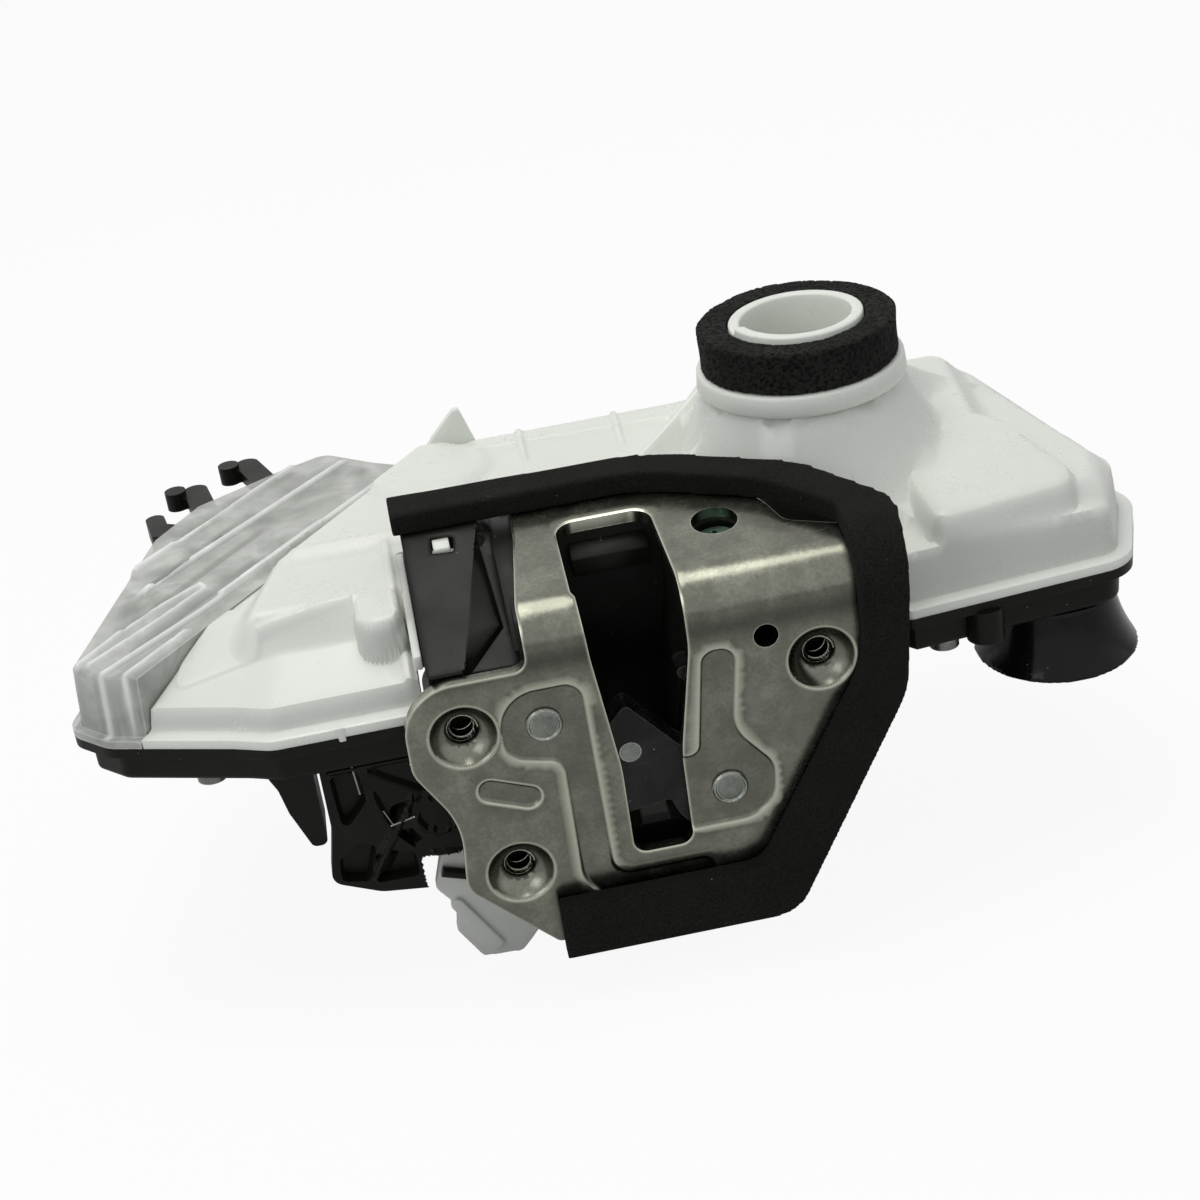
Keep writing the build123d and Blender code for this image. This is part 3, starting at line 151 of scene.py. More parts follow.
def handling_group():
    """Dust specks, hairline scuffs and smears left by handling."""
    tree, into, out = group("Handling", [("Amount", 0.5)],
                            [("Specks", "NodeSocketFloat"), ("Scuffs", "NodeSocketFloat"),
                             ("Smear", "NodeSocketFloat")])
    spot = place(tree)
    cells = node(tree, "ShaderNodeTexVoronoi", [("Vector", spot), ("Scale", 0.33)],
                 feature="F1").outputs["Distance"]
    keep = node(tree, "ShaderNodeTexNoise", [("Vector", spot), ("Scale", 0.2),
                                             ("Detail", 2.0)]).outputs["Fac"]
    dots = math_node(tree, "MULTIPLY", ramp(tree, cells, 0.06, 0.03), ramp(tree, keep, 0.52, 0.60))
    strokes = place(tree, scale=(0.10, 1.0, 2.6), turn=(0.3, 0.2, 0.5))
    hair = node(tree, "ShaderNodeTexNoise", [("Vector", strokes), ("Scale", 1.6),
                                             ("Detail", 2.0)]).outputs["Fac"]
    lines = math_node(tree, "MULTIPLY", ramp(tree, hair, 0.66, 0.72), ramp(tree, keep, 0.45, 0.60))
    smear = node(tree, "ShaderNodeTexNoise", [("Vector", spot), ("Scale", 0.05), ("Detail", 5.0),
                                              ("Distortion", 1.2)])
    for name, value in (("Specks", dots), ("Scuffs", lines),
                        ("Smear", ramp(tree, smear.outputs["Fac"], 0.4, 0.7))):
        tree.links.new(math_node(tree, "MULTIPLY", value, into.outputs["Amount"]), out.inputs[name])
    return tree


def rolled_group():
    """Rolling lines of sheet steel along X, with the crystal clouding of bright zinc."""
    tree, into, out = group("RolledSteel", [("Lines", 0.5)],
                            [("Height", "NodeSocketFloat"), ("Tone", "NodeSocketFloat")])
    along = place(tree, scale=(0.03, 1.0, 1.0))
    lines = node(tree, "ShaderNodeTexNoise", [("Vector", along), ("Scale", 5.0), ("Detail", 4.0),
                                              ("Roughness", 0.7)])
    cloud = node(tree, "ShaderNodeTexNoise", [("Vector", place(tree)), ("Scale", 0.12), ("Detail", 8.0),
                                              ("Roughness", 0.62)]).outputs["Fac"]
    flakes = node(tree, "ShaderNodeTexVoronoi", [("Vector", place(tree)),
                                                 ("Scale", 1.6)]).outputs["Color"]
    flake = node(tree, "ShaderNodeSeparateColor", [("Color", flakes)]).outputs["Red"]
    strength = math_node(tree, "MULTIPLY", lines.outputs["Fac"], into.outputs["Lines"])
    tone = math_node(tree, "MULTIPLY_ADD", flake, 0.12,
                     math_node(tree, "MULTIPLY_ADD", cloud, 0.8, -0.06))
    tree.links.new(math_node(tree, "MULTIPLY_ADD", cloud, 0.3, strength), out.inputs["Height"])
    tree.links.new(tone, out.inputs["Tone"])
    return tree


def foam_group():
    """Cells of foam rubber: pits and skin between them."""
    tree, into, out = group("FoamCells", [("Cells per mm", 1.2)],
                            [("Height", "NodeSocketFloat"), ("Pits", "NodeSocketFloat")])
    cells = node(tree, "ShaderNodeTexVoronoi", [("Vector", place(tree)),
                                                ("Scale", into.outputs["Cells per mm"]),
                                                ("Randomness", 1.0)],
                 feature="SMOOTH_F1").outputs["Distance"]
    pit = ramp(tree, cells, 0.55, 0.15)
    tree.links.new(math_node(tree, "SUBTRACT", 1.0, pit), out.inputs["Height"])
    tree.links.new(pit, out.inputs["Pits"])
    return tree


EDGE = edge_wear_and_highlight_group()
GRAIN = grain_group()
HANDLING = handling_group()
ROLLED = rolled_group()
FOAM = foam_group()


# ---------------------------------------------------------------- materials
def surface(name, colour, roughness, metal=0.0, **settings):
    """New material with its Principled shader; colour is linear RGB."""
    material = bpy.data.materials.new(name)
    material.use_nodes = True
    shader = material.node_tree.nodes["Principled BSDF"]
    shader.inputs["Base Color"].default_value = (*colour, 1.0)
    shader.inputs["Roughness"].default_value = roughness
    shader.inputs["Metallic"].default_value = metal
    for key, value in settings.items():
        shader.inputs[key.replace("_", " ")].default_value = value
    material.diffuse_color = (*colour, 1.0)
    return material, material.node_tree, shader


def use(tree, shared, **values):
    made = tree.nodes.new("ShaderNodeGroup")
    made.node_tree = shared
    for key, value in values.items():
        made.inputs[key.replace("_", " ")].default_value = value
    return made.outputs


def tint(tree, mask, first, second):
    """Colour that goes from first to second with the mask; either may be a socket or RGB."""
    def as_input(value):
        return value if isinstance(value, bpy.types.NodeSocket) else (*value, 1.0)
    made = node(tree, "ShaderNodeMix", [(0, mask), (6, as_input(first)), (7, as_input(second))],
                data_type="RGBA")
    return made.outputs[2]


def bump(tree, shader, height, depth_mm):
    made = node(tree, "ShaderNodeBump", [("Height", height), ("Distance", depth_mm * MM)])
    tree.links.new(made.outputs[0], shader.inputs["Normal"])


def painted_mask(tree, name):
    """Mask that the mesh itself carries along its pressed lines, of painted highlight and painted shade;
    meshes without it read 0.
    """
    return node(tree, "ShaderNodeAttribute", attribute_name=name).outputs["Fac"]


def moulded_plastic(name, colour, wear_and_sheen, roughness, grain=4.0, depth=0.02, rub_and_sheen_amount=0.35, dust=0.35,
                    **settings):
    """Plastic from a mould: grain, cloudy tone, edges lightened by rubbing and as painted highlight, dust
    specks and hairline scuffs.
    """
    material, tree, shader = surface(name, colour, roughness, **settings)
    skin = use(tree, GRAIN, Grain_per_mm=grain, Roughness=roughness, Spread=0.35)
    marks = use(tree, HANDLING, Amount=dust)
    edge = use(tree, EDGE, Radius=0.0004, Break_up=0.7)["Mask"]
    cloudy = tint(tree, marks["Smear"], colour, tuple(0.86 * c + 0.14 * w for c, w in zip(colour, wear_and_sheen)))
    # edges lightened towards the edge colour: edge rubbing and painted highlight
    rubbed = tint(tree, math_node(tree, "MULTIPLY", edge, rub_and_sheen_amount), cloudy, wear_and_sheen)
    dusty = tint(tree, marks["Specks"], rubbed, (0.55, 0.55, 0.52))
    scuffed = tint(tree, math_node(tree, "MULTIPLY", marks["Scuffs"], 0.4), dusty, wear_and_sheen)
    tree.links.new(scuffed, shader.inputs["Base Color"])
    rough = math_node(tree, "MULTIPLY_ADD", marks["Smear"], 0.18, skin["Roughness"], clamp=True)
    tree.links.new(rough, shader.inputs["Roughness"])
    bump(tree, shader, skin["Height"], depth)
    return material


def plated_steel(name, colour, roughness, lines=0.5, grease=0.0):
    """Zinc-plated sheet or turned steel: clouded tone, rolling lines, smears, edges lightened by rubbing and
    as painted highlight, painted highlight and painted shade along the mesh's pressed lines.
    """
    material, tree, shader = surface(name, colour, roughness, metal=1.0)
    sheet = use(tree, ROLLED, Lines=lines)
    marks = use(tree, HANDLING, Amount=0.6)
    edge = use(tree, EDGE, Radius=0.0004, Break_up=0.35)["Mask"]
    dark = tuple(0.60 * c for c in colour)
    # painted highlight: the lightened colour for edges and pressed lines
    light = tuple(min(1.0, 2.6 * c) for c in colour)
    clouded = tint(tree, ramp(tree, sheet["Tone"], 0.25, 0.65), dark, colour)
    smeared = tint(tree, math_node(tree, "MULTIPLY", marks["Smear"], 0.5 + grease), clouded,
                   tuple(0.8 * c for c in dark))
    # mask of edge rubbing and of the painted highlight lines that the mesh carries
    wear_and_sheen = math_node(tree, "MAXIMUM", edge, math_node(tree, "MULTIPLY", painted_mask(tree, "rubbed"),
                                                      0.9))
    # painted shade and painted reflection from the mesh's shaded mask, darkened to about a fifth of the
    # colour
    painted_shade = tint(tree, painted_mask(tree, "shaded"), smeared, tuple(0.22 * c for c in colour))
    bright = tint(tree, wear_and_sheen, painted_shade, light)
    dusty = tint(tree, marks["Specks"], bright, tuple(0.35 * c for c in colour))
    tree.links.new(dusty, shader.inputs["Base Color"])
    rough = math_node(tree, "MULTIPLY_ADD", sheet["Tone"], 0.22, roughness - 0.09, clamp=True)
    rough = math_node(tree, "MULTIPLY_ADD", marks["Scuffs"], 0.15, rough, clamp=True)
    tree.links.new(rough, shader.inputs["Roughness"])
    bump(tree, shader, sheet["Height"], 0.012)
    return material


def cellular(name, colour, skin, cells, depth):
    """Foam rubber: skin between pits, pit floors darkened as painted shade, chalky dust."""
    roughness = 0.85
    material, tree, shader = surface(name, colour, roughness, Specular_IOR_Level=0.12)
    foam = use(tree, FOAM, Cells_per_mm=cells)
    fine = use(tree, GRAIN, Grain_per_mm=cells * 3.0, Roughness=roughness, Spread=0.3)
    marks = use(tree, HANDLING, Amount=0.6)
    # painted shade: pit floors darkened
    pits = tint(tree, foam["Pits"], skin, tuple(0.3 * c for c in colour))
    toned = tint(tree, marks["Smear"], pits, colour)
    dusty = tint(tree, marks["Specks"], toned, (0.32, 0.32, 0.29))
    tree.links.new(dusty, shader.inputs["Base Color"])
    tree.links.new(fine["Roughness"], shader.inputs["Roughness"])
    height = math_node(tree, "MULTIPLY_ADD", fine["Height"], 0.35, foam["Height"])
    bump(tree, shader, height, depth)
    return material


BLACK = (0.0055, 0.0058, 0.0042)
black_plastic = moulded_plastic("black_moulding", BLACK, (0.07, 0.07, 0.065), 0.36, grain=3.0,
                                depth=0.015, Specular_IOR_Level=0.14)
gloss_black = moulded_plastic("black_hood", (0.004, 0.004, 0.0038), (0.05, 0.05, 0.046), 0.16, grain=1.0,
                              depth=0.004, Specular_IOR_Level=0.17)
fork_coat = moulded_plastic("fork_coating", (0.004, 0.004, 0.004), (0.12, 0.13, 0.12), 0.22, grain=1.5,
                            depth=0.006, rub_and_sheen_amount=0.8, dust=0.8, Specular_IOR_Level=0.2)
white_plastic = moulded_plastic("white_case", (0.775, 0.80, 0.745), (0.90, 0.92, 0.88), 0.33, grain=1.5,
                                depth=0.008, rub_and_sheen_amount=0.6, dust=0.12, Subsurface_Weight=0.35,
                                Subsurface_Radius=(0.004, 0.004, 0.004), Subsurface_Scale=1.0)
grey_plastic = moulded_plastic("natural_moulding", (0.42, 0.43, 0.41), (0.62, 0.63, 0.60), 0.42)
lever_plastic = moulded_plastic("lever_moulding", (0.60, 0.61, 0.58), (0.75, 0.75, 0.70), 0.45, rub_and_sheen_amount=0.5,
                                dust=0.8)
pale_rubber = moulded_plastic("bumper_rubber", (0.05, 0.055, 0.05), (0.12, 0.13, 0.12), 0.6)
zinc = plated_steel("zinc_plate", (0.245, 0.247, 0.205), 0.25, lines=0.5)
rivet_steel = plated_steel("turned_steel", (0.25, 0.265, 0.24), 0.27, lines=0.2)
screw_steel = plated_steel("screw_steel", (0.25, 0.26, 0.24), 0.36, lines=0.2)
green_screw = plated_steel("green_passivated", (0.20, 0.33, 0.26), 0.38, lines=0.2, grease=0.3)
brass = plated_steel("contact_brass", (0.72, 0.56, 0.28), 0.28, lines=0.3)
seal_foam = cellular("seal_foam", (0.0065, 0.0070, 0.0052), (0.0105, 0.0112, 0.0085), cells=2.6,
                     depth=0.05)
open_foam = cellular("open_cell_foam", (0.007, 0.0075, 0.0065), (0.019, 0.020, 0.0175), cells=1.15,
                     depth=0.35)


def frosted():
    """Frosted polymer of the wing cover: partly see-through, milky, with flow clouds, edges lightened by
    rubbing and as painted highlight, ridge crests as painted highlight, and painted shade from the mesh's
    mask.
    """
    material, tree, shader = surface("frosted_wing", (0.62, 0.63, 0.60), 0.38, IOR=1.45)
    skin = use(tree, GRAIN, Grain_per_mm=2.0, Roughness=0.38, Spread=0.3)
    marks = use(tree, HANDLING, Amount=0.5)
    cloud = node(tree, "ShaderNodeTexNoise", [("Vector", place(tree)), ("Scale", 0.06), ("Detail", 5.0),
                                              ("Distortion", 0.8)]).outputs["Fac"]
    toned = tint(tree, ramp(tree, cloud, 0.35, 0.65), (0.50, 0.51, 0.48), (0.72, 0.73, 0.70))
    # edges and the mesh's ridge lines lightened towards white: edge rubbing and painted highlight
    edge = math_node(tree, "MAXIMUM", use(tree, EDGE, Radius=0.0005, Break_up=0.3)["Mask"],
                     painted_mask(tree, "rubbed"))
    # painted shade from the mesh's shaded mask
    toned = tint(tree, painted_mask(tree, "shaded"), toned, (0.26, 0.27, 0.25))
    tree.links.new(tint(tree, math_node(tree, "MULTIPLY", edge, 0.8), toned, (0.93, 0.94, 0.93)),
                   shader.inputs["Base Color"])
    tree.links.new(skin["Roughness"], shader.inputs["Roughness"])
    veil = math_node(tree, "MULTIPLY_ADD", marks["Smear"], 0.5, 0.60)
    tree.links.new(math_node(tree, "MULTIPLY_ADD", edge, 0.2, veil, clamp=True), shader.inputs["Alpha"])
    bump(tree, shader, skin["Height"], 0.01)
    return material


frosted_wing = frosted()

FINISH = {
    "zinc_steel": zinc, "rivet_steel": rivet_steel, "spring_steel": rivet_steel, "coated_fork": fork_coat,
    "seal_foam": seal_foam, "open_foam": open_foam, "pale_rubber": pale_rubber,
    "black_plastic": black_plastic,
    "gloss_black": gloss_black, "white_plastic": white_plastic, "clear_plastic": frosted_wing,
    "lever_plastic": lever_plastic, "grey_plastic": grey_plastic, "contact_brass": brass,
    "motor_steel": rivet_steel, "screw_steel": screw_steel, "green_screw": green_screw,
}
SLOT_OF = {part["node"]: part["material_slot"] for part in frame["record"]["subparts"]}
BODY_OF = {part: body for body, parts in frame["record"]["behaviour"]["bodies"].items() for part in parts}

for name, part in NODES.items():
    part.data.materials.clear()
    part.data.materials.append(FINISH[SLOT_OF[name]])


# ---------------------------------------------------------------- pieces
def new_piece(name, mesh, node_name, replaces=True):
    """Adds a finished mesh that stands for a CAD node or dresses it, on its body, in its finish."""
    piece = bpy.data.objects.new(name, mesh)
    bpy.context.scene.collection.objects.link(piece)
    mesh.materials.clear()
    mesh.materials.append(FINISH[SLOT_OF[node_name]])
    mesh.polygons.foreach_set("material_index", [0] * len(mesh.polygons))
    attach(piece, BODY_OF[node_name])
    if replaces:
        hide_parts(node_name)
    return piece


def baked(piece):
    """Plain mesh of an object with its modifiers applied; the object is dropped."""
    view_layer = bpy.context.evaluated_depsgraph_get()
    mesh = bpy.data.meshes.new_from_object(piece.evaluated_get(view_layer))
    bpy.data.objects.remove(piece)
    return mesh


def softened(node_name, voxel_mm, rounds):
    """The node's own form with the small round edges that a mould or a press leaves."""
    source = NODES[node_name]
    work = bpy.data.objects.new(node_name + "_work", source.data.copy())
    work.matrix_world = source.matrix_world.copy()
    bpy.context.scene.collection.objects.link(work)
    shell = bmesh.new()
    shell.from_mesh(work.data)
    bmesh.ops.transform(shell, matrix=source.matrix_world, verts=shell.verts)
    bmesh.ops.remove_doubles(shell, verts=shell.verts, dist=1e-6)
    shell.to_mesh(work.data)
    shell.free()
    work.matrix_world = Matrix.Identity(4)
    remesh = work.modifiers.new("voxels", "REMESH")
    remesh.mode = "VOXEL"
    remesh.voxel_size = voxel_mm * MM
    remesh.use_smooth_shade = True
    smooth = work.modifiers.new("soft edges", "SMOOTH")
    smooth.factor = 0.5
    smooth.iterations = rounds
    return baked(work)


# ---------------------------------------------------------------- repeated parts, grown by geometry nodes
def geometry_tree(name, inputs):
    """Geometry node tree with a Geometry input, float inputs (name, value) and a Geometry output."""
    tree = bpy.data.node_groups.new(name, "GeometryNodeTree")
    tree.interface.new_socket("Geometry", in_out="INPUT", socket_type="NodeSocketGeometry")
    for label, value in inputs:
        socket = tree.interface.new_socket(label, in_out="INPUT", socket_type="NodeSocketFloat")
        socket.default_value = value
    tree.interface.new_socket("Geometry", in_out="OUTPUT", socket_type="NodeSocketGeometry")
    return tree, tree.nodes.new("NodeGroupInput").outputs, tree.nodes.new("NodeGroupOutput")


def grown(name, tree, points, values, finish):
    """Plain mesh that the tree grows on a set of points, given in metres."""
    seeds = bpy.data.meshes.new(name + "_points")
    seeds.from_pydata([tuple(p) for p in points], [], [])
    return grown_from(name, tree, seeds, values, finish)


def grown_from(name, tree, seeds, values, finish):
    """Plain mesh that the tree grows on the points and edges of a mesh."""
    holder = bpy.data.objects.new(name, seeds)
    bpy.context.scene.collection.objects.link(holder)
    grower = holder.modifiers.new("grow", "NODES")
    grower.node_group = tree
    for item in tree.interface.items_tree:
        if item.item_type == "SOCKET" and item.in_out == "INPUT" and item.name in values:
            grower[item.identifier] = values[item.name]
    for made in tree.nodes:
        if made.bl_idname == "GeometryNodeSetMaterial":
            made.inputs["Material"].default_value = finish
    return baked(holder)


def ending(tree, geometry, out):
    """Closes a tree with Realize Instances and Set Material."""
    real = node(tree, "GeometryNodeRealizeInstances", [(0, geometry)])
    painted = node(tree, "GeometryNodeSetMaterial", [("Geometry", real.outputs[0])])
    tree.links.new(painted.outputs[0], out.inputs[0])


def wire_coils():
    """Tree: a round wire wound round the Y axis at each point, for springs and thread ridges."""
    tree, into, out = geometry_tree("WireCoils", [("Start radius", 0.006), ("End radius", 0.006),
                                                  ("Pitch", 0.0012), ("Turns", 2.0), ("Wire", 0.00045),
                                                  ("Sides", 8.0)])
    height = math_node(tree, "MULTIPLY", into["Pitch"], into["Turns"])
    spiral = node(tree, "GeometryNodeCurveSpiral", [("Resolution", 40), ("Rotations", into["Turns"]),
                                                    ("Start Radius", into["Start radius"]),
                                                    ("End Radius", into["End radius"]),
                                                    ("Height", height)])
    section = node(tree, "GeometryNodeCurvePrimitiveCircle", [("Resolution", into["Sides"]),
                                                              ("Radius", into["Wire"])])
    wire = node(tree, "GeometryNodeCurveToMesh", [("Curve", spiral.outputs[0]),
                                                  ("Profile Curve", section.outputs[0]),
                                                  ("Fill Caps", True)])
    laid = node(tree, "GeometryNodeTransform", [("Geometry", wire.outputs[0]),
                                                ("Rotation", (-math.pi / 2, 0.0, 0.0))])
    placed = node(tree, "GeometryNodeInstanceOnPoints",
                  [("Points", into["Geometry"]), ("Instance", laid.outputs[0])])
    ending(tree, placed.outputs[0], out)
    return tree


def wire_runs():
    """Tree: a round wire along each edge of the mesh."""
    tree, into, out = geometry_tree("WireRuns", [("Wire", 0.0003), ("Sides", 8.0)])
    run = node(tree, "GeometryNodeMeshToCurve", [("Mesh", into["Geometry"])])
    section = node(tree, "GeometryNodeCurvePrimitiveCircle", [("Resolution", into["Sides"]),
                                                              ("Radius", into["Wire"])])
    wire = node(tree, "GeometryNodeCurveToMesh", [("Curve", run.outputs[0]),
                                                  ("Profile Curve", section.outputs[0]),
                                                  ("Fill Caps", True)])
    ending(tree, wire.outputs[0], out)
    return tree


WIRE_COILS = wire_coils()
WIRE_RUNS = wire_runs()


# ---------------------------------------------------------------- face plate
SHEET = 2.8                    # thickness of the plate
BEND_RADIUS, BEND_START, BEND_TURN = 9.0, 24.0, math.radians(82.0)
BEND_LENGTH = BEND_RADIUS * BEND_TURN
SPLIT_DEPTH = 7.0              # the front outline ends here and the flange outline begins
EMBOSS = 0.7
DIMPLE_RADIUS, THROAT_RADIUS, THREAD_RADIUS = 7.0, 3.7, 2.5
LIP_RADIUS = 7.9               # where the lip round a dimple meets the flat plate
GAUGE_HOLE, GAUGE_RADIUS = (27.9, 17.8), 2.65
DRIVER_HOLE, DRIVER_RADIUS = (23.3, 22.6), 5.0      # across and depth on the flange
SCREW_POINTS = ((39.0, 9.9), (-37.3, 7.7), (-30.6, -27.6))
RIVET_POINTS = ((16.4, -16.9), (-20.4, 6.9))
PLATE_FRONT = ((-22.0, 44), (-22.0, 20.3), (-49.0, 20.3), (-49.2, 1.0), (-41.2, -13.0), (-42.6, -29.5),
               (-25.0, -47.2), (25.0, -47.2), (54.0, 2.0), (57.6, 44))
PLATE_FRONT_R = (0, 3, 11.4, 8, 20, 6, 2, 8, 20, 0)
PLATE_TOP = ((-22.0, 6), (-19.0, 30), (-18.4, 44), (13.0, 42), (30.0, 36.5), (35.3, 25.5), (37.5, 18.5),
             (47.0, 14.0), (57.6, 12), (57.6, 6))
PLATE_TOP_R = (0, 20, 1, 6, 6, 4, 4, 4, 1, 0)
SLOT_FRONT = ((-10.25, 44), (-8.8, 20.0), (-5.8, -7.0), (-5.8, -28.7), (7.2, -28.7), (7.3, -6.0),
              (11.6, 18.0), (11.65, 44))
SLOT_FRONT_R = (0, 30, 40, 3, 3, 40, 30, 0)
SLOT_TOP = ((-10.25, 6), (-9.95, 32.5), (10.65, 32.5), (11.65, 6))
SLOT_TOP_R = (0, 4.5, 4.5, 0)
LONG_RIB = ((-29.3, 15.3), (-11.7, 15.3), (-10.9, -33.0), (10.8, -33.0), (10.8, -38.8), (-17.5, -38.8),
            (-17.5, -2.5), (-29.3, 0.5))
LONG_RIB_R = (8.2, 4, 4, 2.6, 2.6, 9, 4, 5)
SHORT_RIB = ((14.2, 16.5), (21.2, 16.5), (18.5, -3.0), (26.4, -13.0), (25.4, -25.3), (5.0, -25.3),
             (5.0, -7.5), (10.9, -7.5))
SHORT_RIB_R = (3, 3, 10, 6, 8, 0.5, 0.5, 2.5)
BEAN = ((-36.9, -7.7), (-24.7, -12.7), (-23.1, -8.1), (-35.3, -3.1))
BEAN_R = (2.5, 2.5, 2.3, 2.3)


def rounded(points, radii, step=0.7):
    """Closed outline in mm with a rounded corner at each point, as points a step apart."""
    corners = []
    for i, (corner, radius) in enumerate(zip(points, radii)):
        here, before, after = Vector(corner), Vector(points[i - 1]), Vector(points[(i + 1) % len(points)])
        if radius <= 0:
            corners.append(here)
            continue
        u, v = (before - here).normalized(), (after - here).normalized()
        half = math.acos(max(-1.0, min(1.0, u.dot(v)))) / 2
        centre = here + (u + v).normalized() * (radius / math.sin(half))
        start = here + u * (radius / math.tan(half)) - centre
        end = here + v * (radius / math.tan(half)) - centre
        sweep = math.atan2(start.x * end.y - start.y * end.x, start.dot(end))
        count = max(2, math.ceil(abs(sweep) * radius / step))
        for k in range(count + 1):
            a = sweep * k / count
            corners.append(centre + Vector((start.x * math.cos(a) - start.y * math.sin(a),
                                            start.x * math.sin(a) + start.y * math.cos(a))))
    outline = []
    for here, after in zip(corners, corners[1:] + corners[:1]):
        pieces = max(1, math.ceil((after - here).length / step))
        outline += [here.lerp(after, k / pieces) for k in range(pieces)]
    return outline


def skin_at(s):
    """Depth and height of the plate's outer skin, and its outward normal, at arc length s."""
    if s <= BEND_START:
        return 0.0, s, -1.0, 0.0
    turn = min(s - BEND_START, BEND_LENGTH) / BEND_RADIUS
    run = max(0.0, s - BEND_START - BEND_LENGTH)
    y = BEND_RADIUS * (1 - math.cos(turn)) + run * math.sin(turn)
    z = BEND_START + BEND_RADIUS * math.sin(turn) + run * math.cos(turn)
    return y, z, -math.cos(turn), math.sin(turn)


def rise_of_height(z):
    """Arc length up the skin of a height on the face or the bend."""
    if z <= BEND_START:
        return z
    return BEND_START + BEND_RADIUS * math.asin(min(1.0, (z - BEND_START) / BEND_RADIUS))


def rise_of_depth(y):
    """Arc length up the skin of a depth on the bend or the flange."""
    end = BEND_RADIUS * (1 - math.cos(BEND_TURN))
    if y <= end:
        return BEND_START + BEND_RADIUS * math.acos(1 - y / BEND_RADIUS)
    return BEND_START + BEND_LENGTH + (y - end) / math.sin(BEND_TURN)


def unrolled(front, front_r, top, top_r):
    """Front outline and flange outline joined into one closed outline on the unrolled plate."""
    split_height = BEND_START + BEND_RADIUS * math.sin(math.acos(1 - SPLIT_DEPTH / BEND_RADIUS))
    low = [Vector((p.x, rise_of_height(p.y))) for p in rounded(front, front_r)
           if p.y < split_height - 0.3]
    high = [Vector((p.x, rise_of_depth(p.y))) for p in rounded(top, top_r) if p.y > SPLIT_DEPTH + 0.3]
    return low + high[::-1]


def inside(points, outline):
    """Whether each point lies inside a closed outline."""
    x, y = points[:, 0], points[:, 1]
    found = np.zeros(len(points), bool)
    for a, b in zip(outline, outline[1:] + outline[:1]):
        crosses = (a.y > y) != (b.y > y)
        if a.y != b.y:
            found ^= crosses & (x < (b.x - a.x) * (y - a.y) / (b.y - a.y) + a.x)
    return found


def distance(points, outline):
    """Distance of each point to a closed outline, negative inside."""
    nearest = np.full(len(points), 1e9)
    for a, b in zip(outline, outline[1:] + outline[:1]):
        along = np.array((b.x - a.x, b.y - a.y))
        off = points - np.array((a.x, a.y))
        t = np.clip(off @ along / max(along @ along, 1e-9), 0, 1)
        nearest = np.minimum(nearest, np.linalg.norm(off - t[:, None] * along, axis=1))
    return np.where(inside(points, outline), -nearest, nearest)


def joined_up(loops, spare):
    """Points and triangles of a flat area: first loop outside, the others holes, spare points within."""
    corners, edges = [], []
    for loop in loops:
        first = len(corners)
        corners += [p.copy() for p in loop]
        edges += [(first + k, first + (k + 1) % len(loop)) for k in range(len(loop))]
    corners += [Vector(p) for p in spare]
    flat, _, faces, *_ = delaunay_2d_cdt(corners, edges, [], 0, 1e-5)
    at = np.array([(p.x, p.y) for p in flat])
    middle = at[np.array(faces)].mean(axis=1)
    keep = inside(middle, loops[0])
    for hole in loops[1:]:
        keep &= ~inside(middle, hole)
    return at, [f for f, wanted in zip(faces, keep) if wanted]


def eased(value):
    value = np.clip(value, 0, 1)
    return value * value * (3 - 2 * value)


def closed_shell(name, upper, lower, faces, **masks):
    """Closed mesh between two layers of the same triangles, in mm; masks of painted highlight and painted
    shade lie on the upper.
    """
    shell = bmesh.new()
    carried = {key: shell.verts.layers.float.new(key) for key in masks}
    layers = [[shell.verts.new(Vector(p) * MM) for p in layer] for layer in (upper, lower)]
    for key, values in masks.items():
        for vertex, value in zip(layers[0], values):
            vertex[carried[key]] = value
    half_edges = {(a, b) for f in faces for a, b in zip(f, f[1:] + f[:1])}
    for f in faces:
        shell.faces.new([layers[0][k] for k in f])
        shell.faces.new([layers[1][k] for k in reversed(f)])
    for a, b in half_edges:
        if (b, a) not in half_edges:
            shell.faces.new([layers[0][b], layers[0][a], layers[1][a], layers[1][b]])
    bmesh.ops.delete(shell, geom=[v for v in shell.verts if not v.link_faces], context="VERTS")
    bmesh.ops.recalc_face_normals(shell, faces=shell.faces)
    return as_mesh(name, shell)


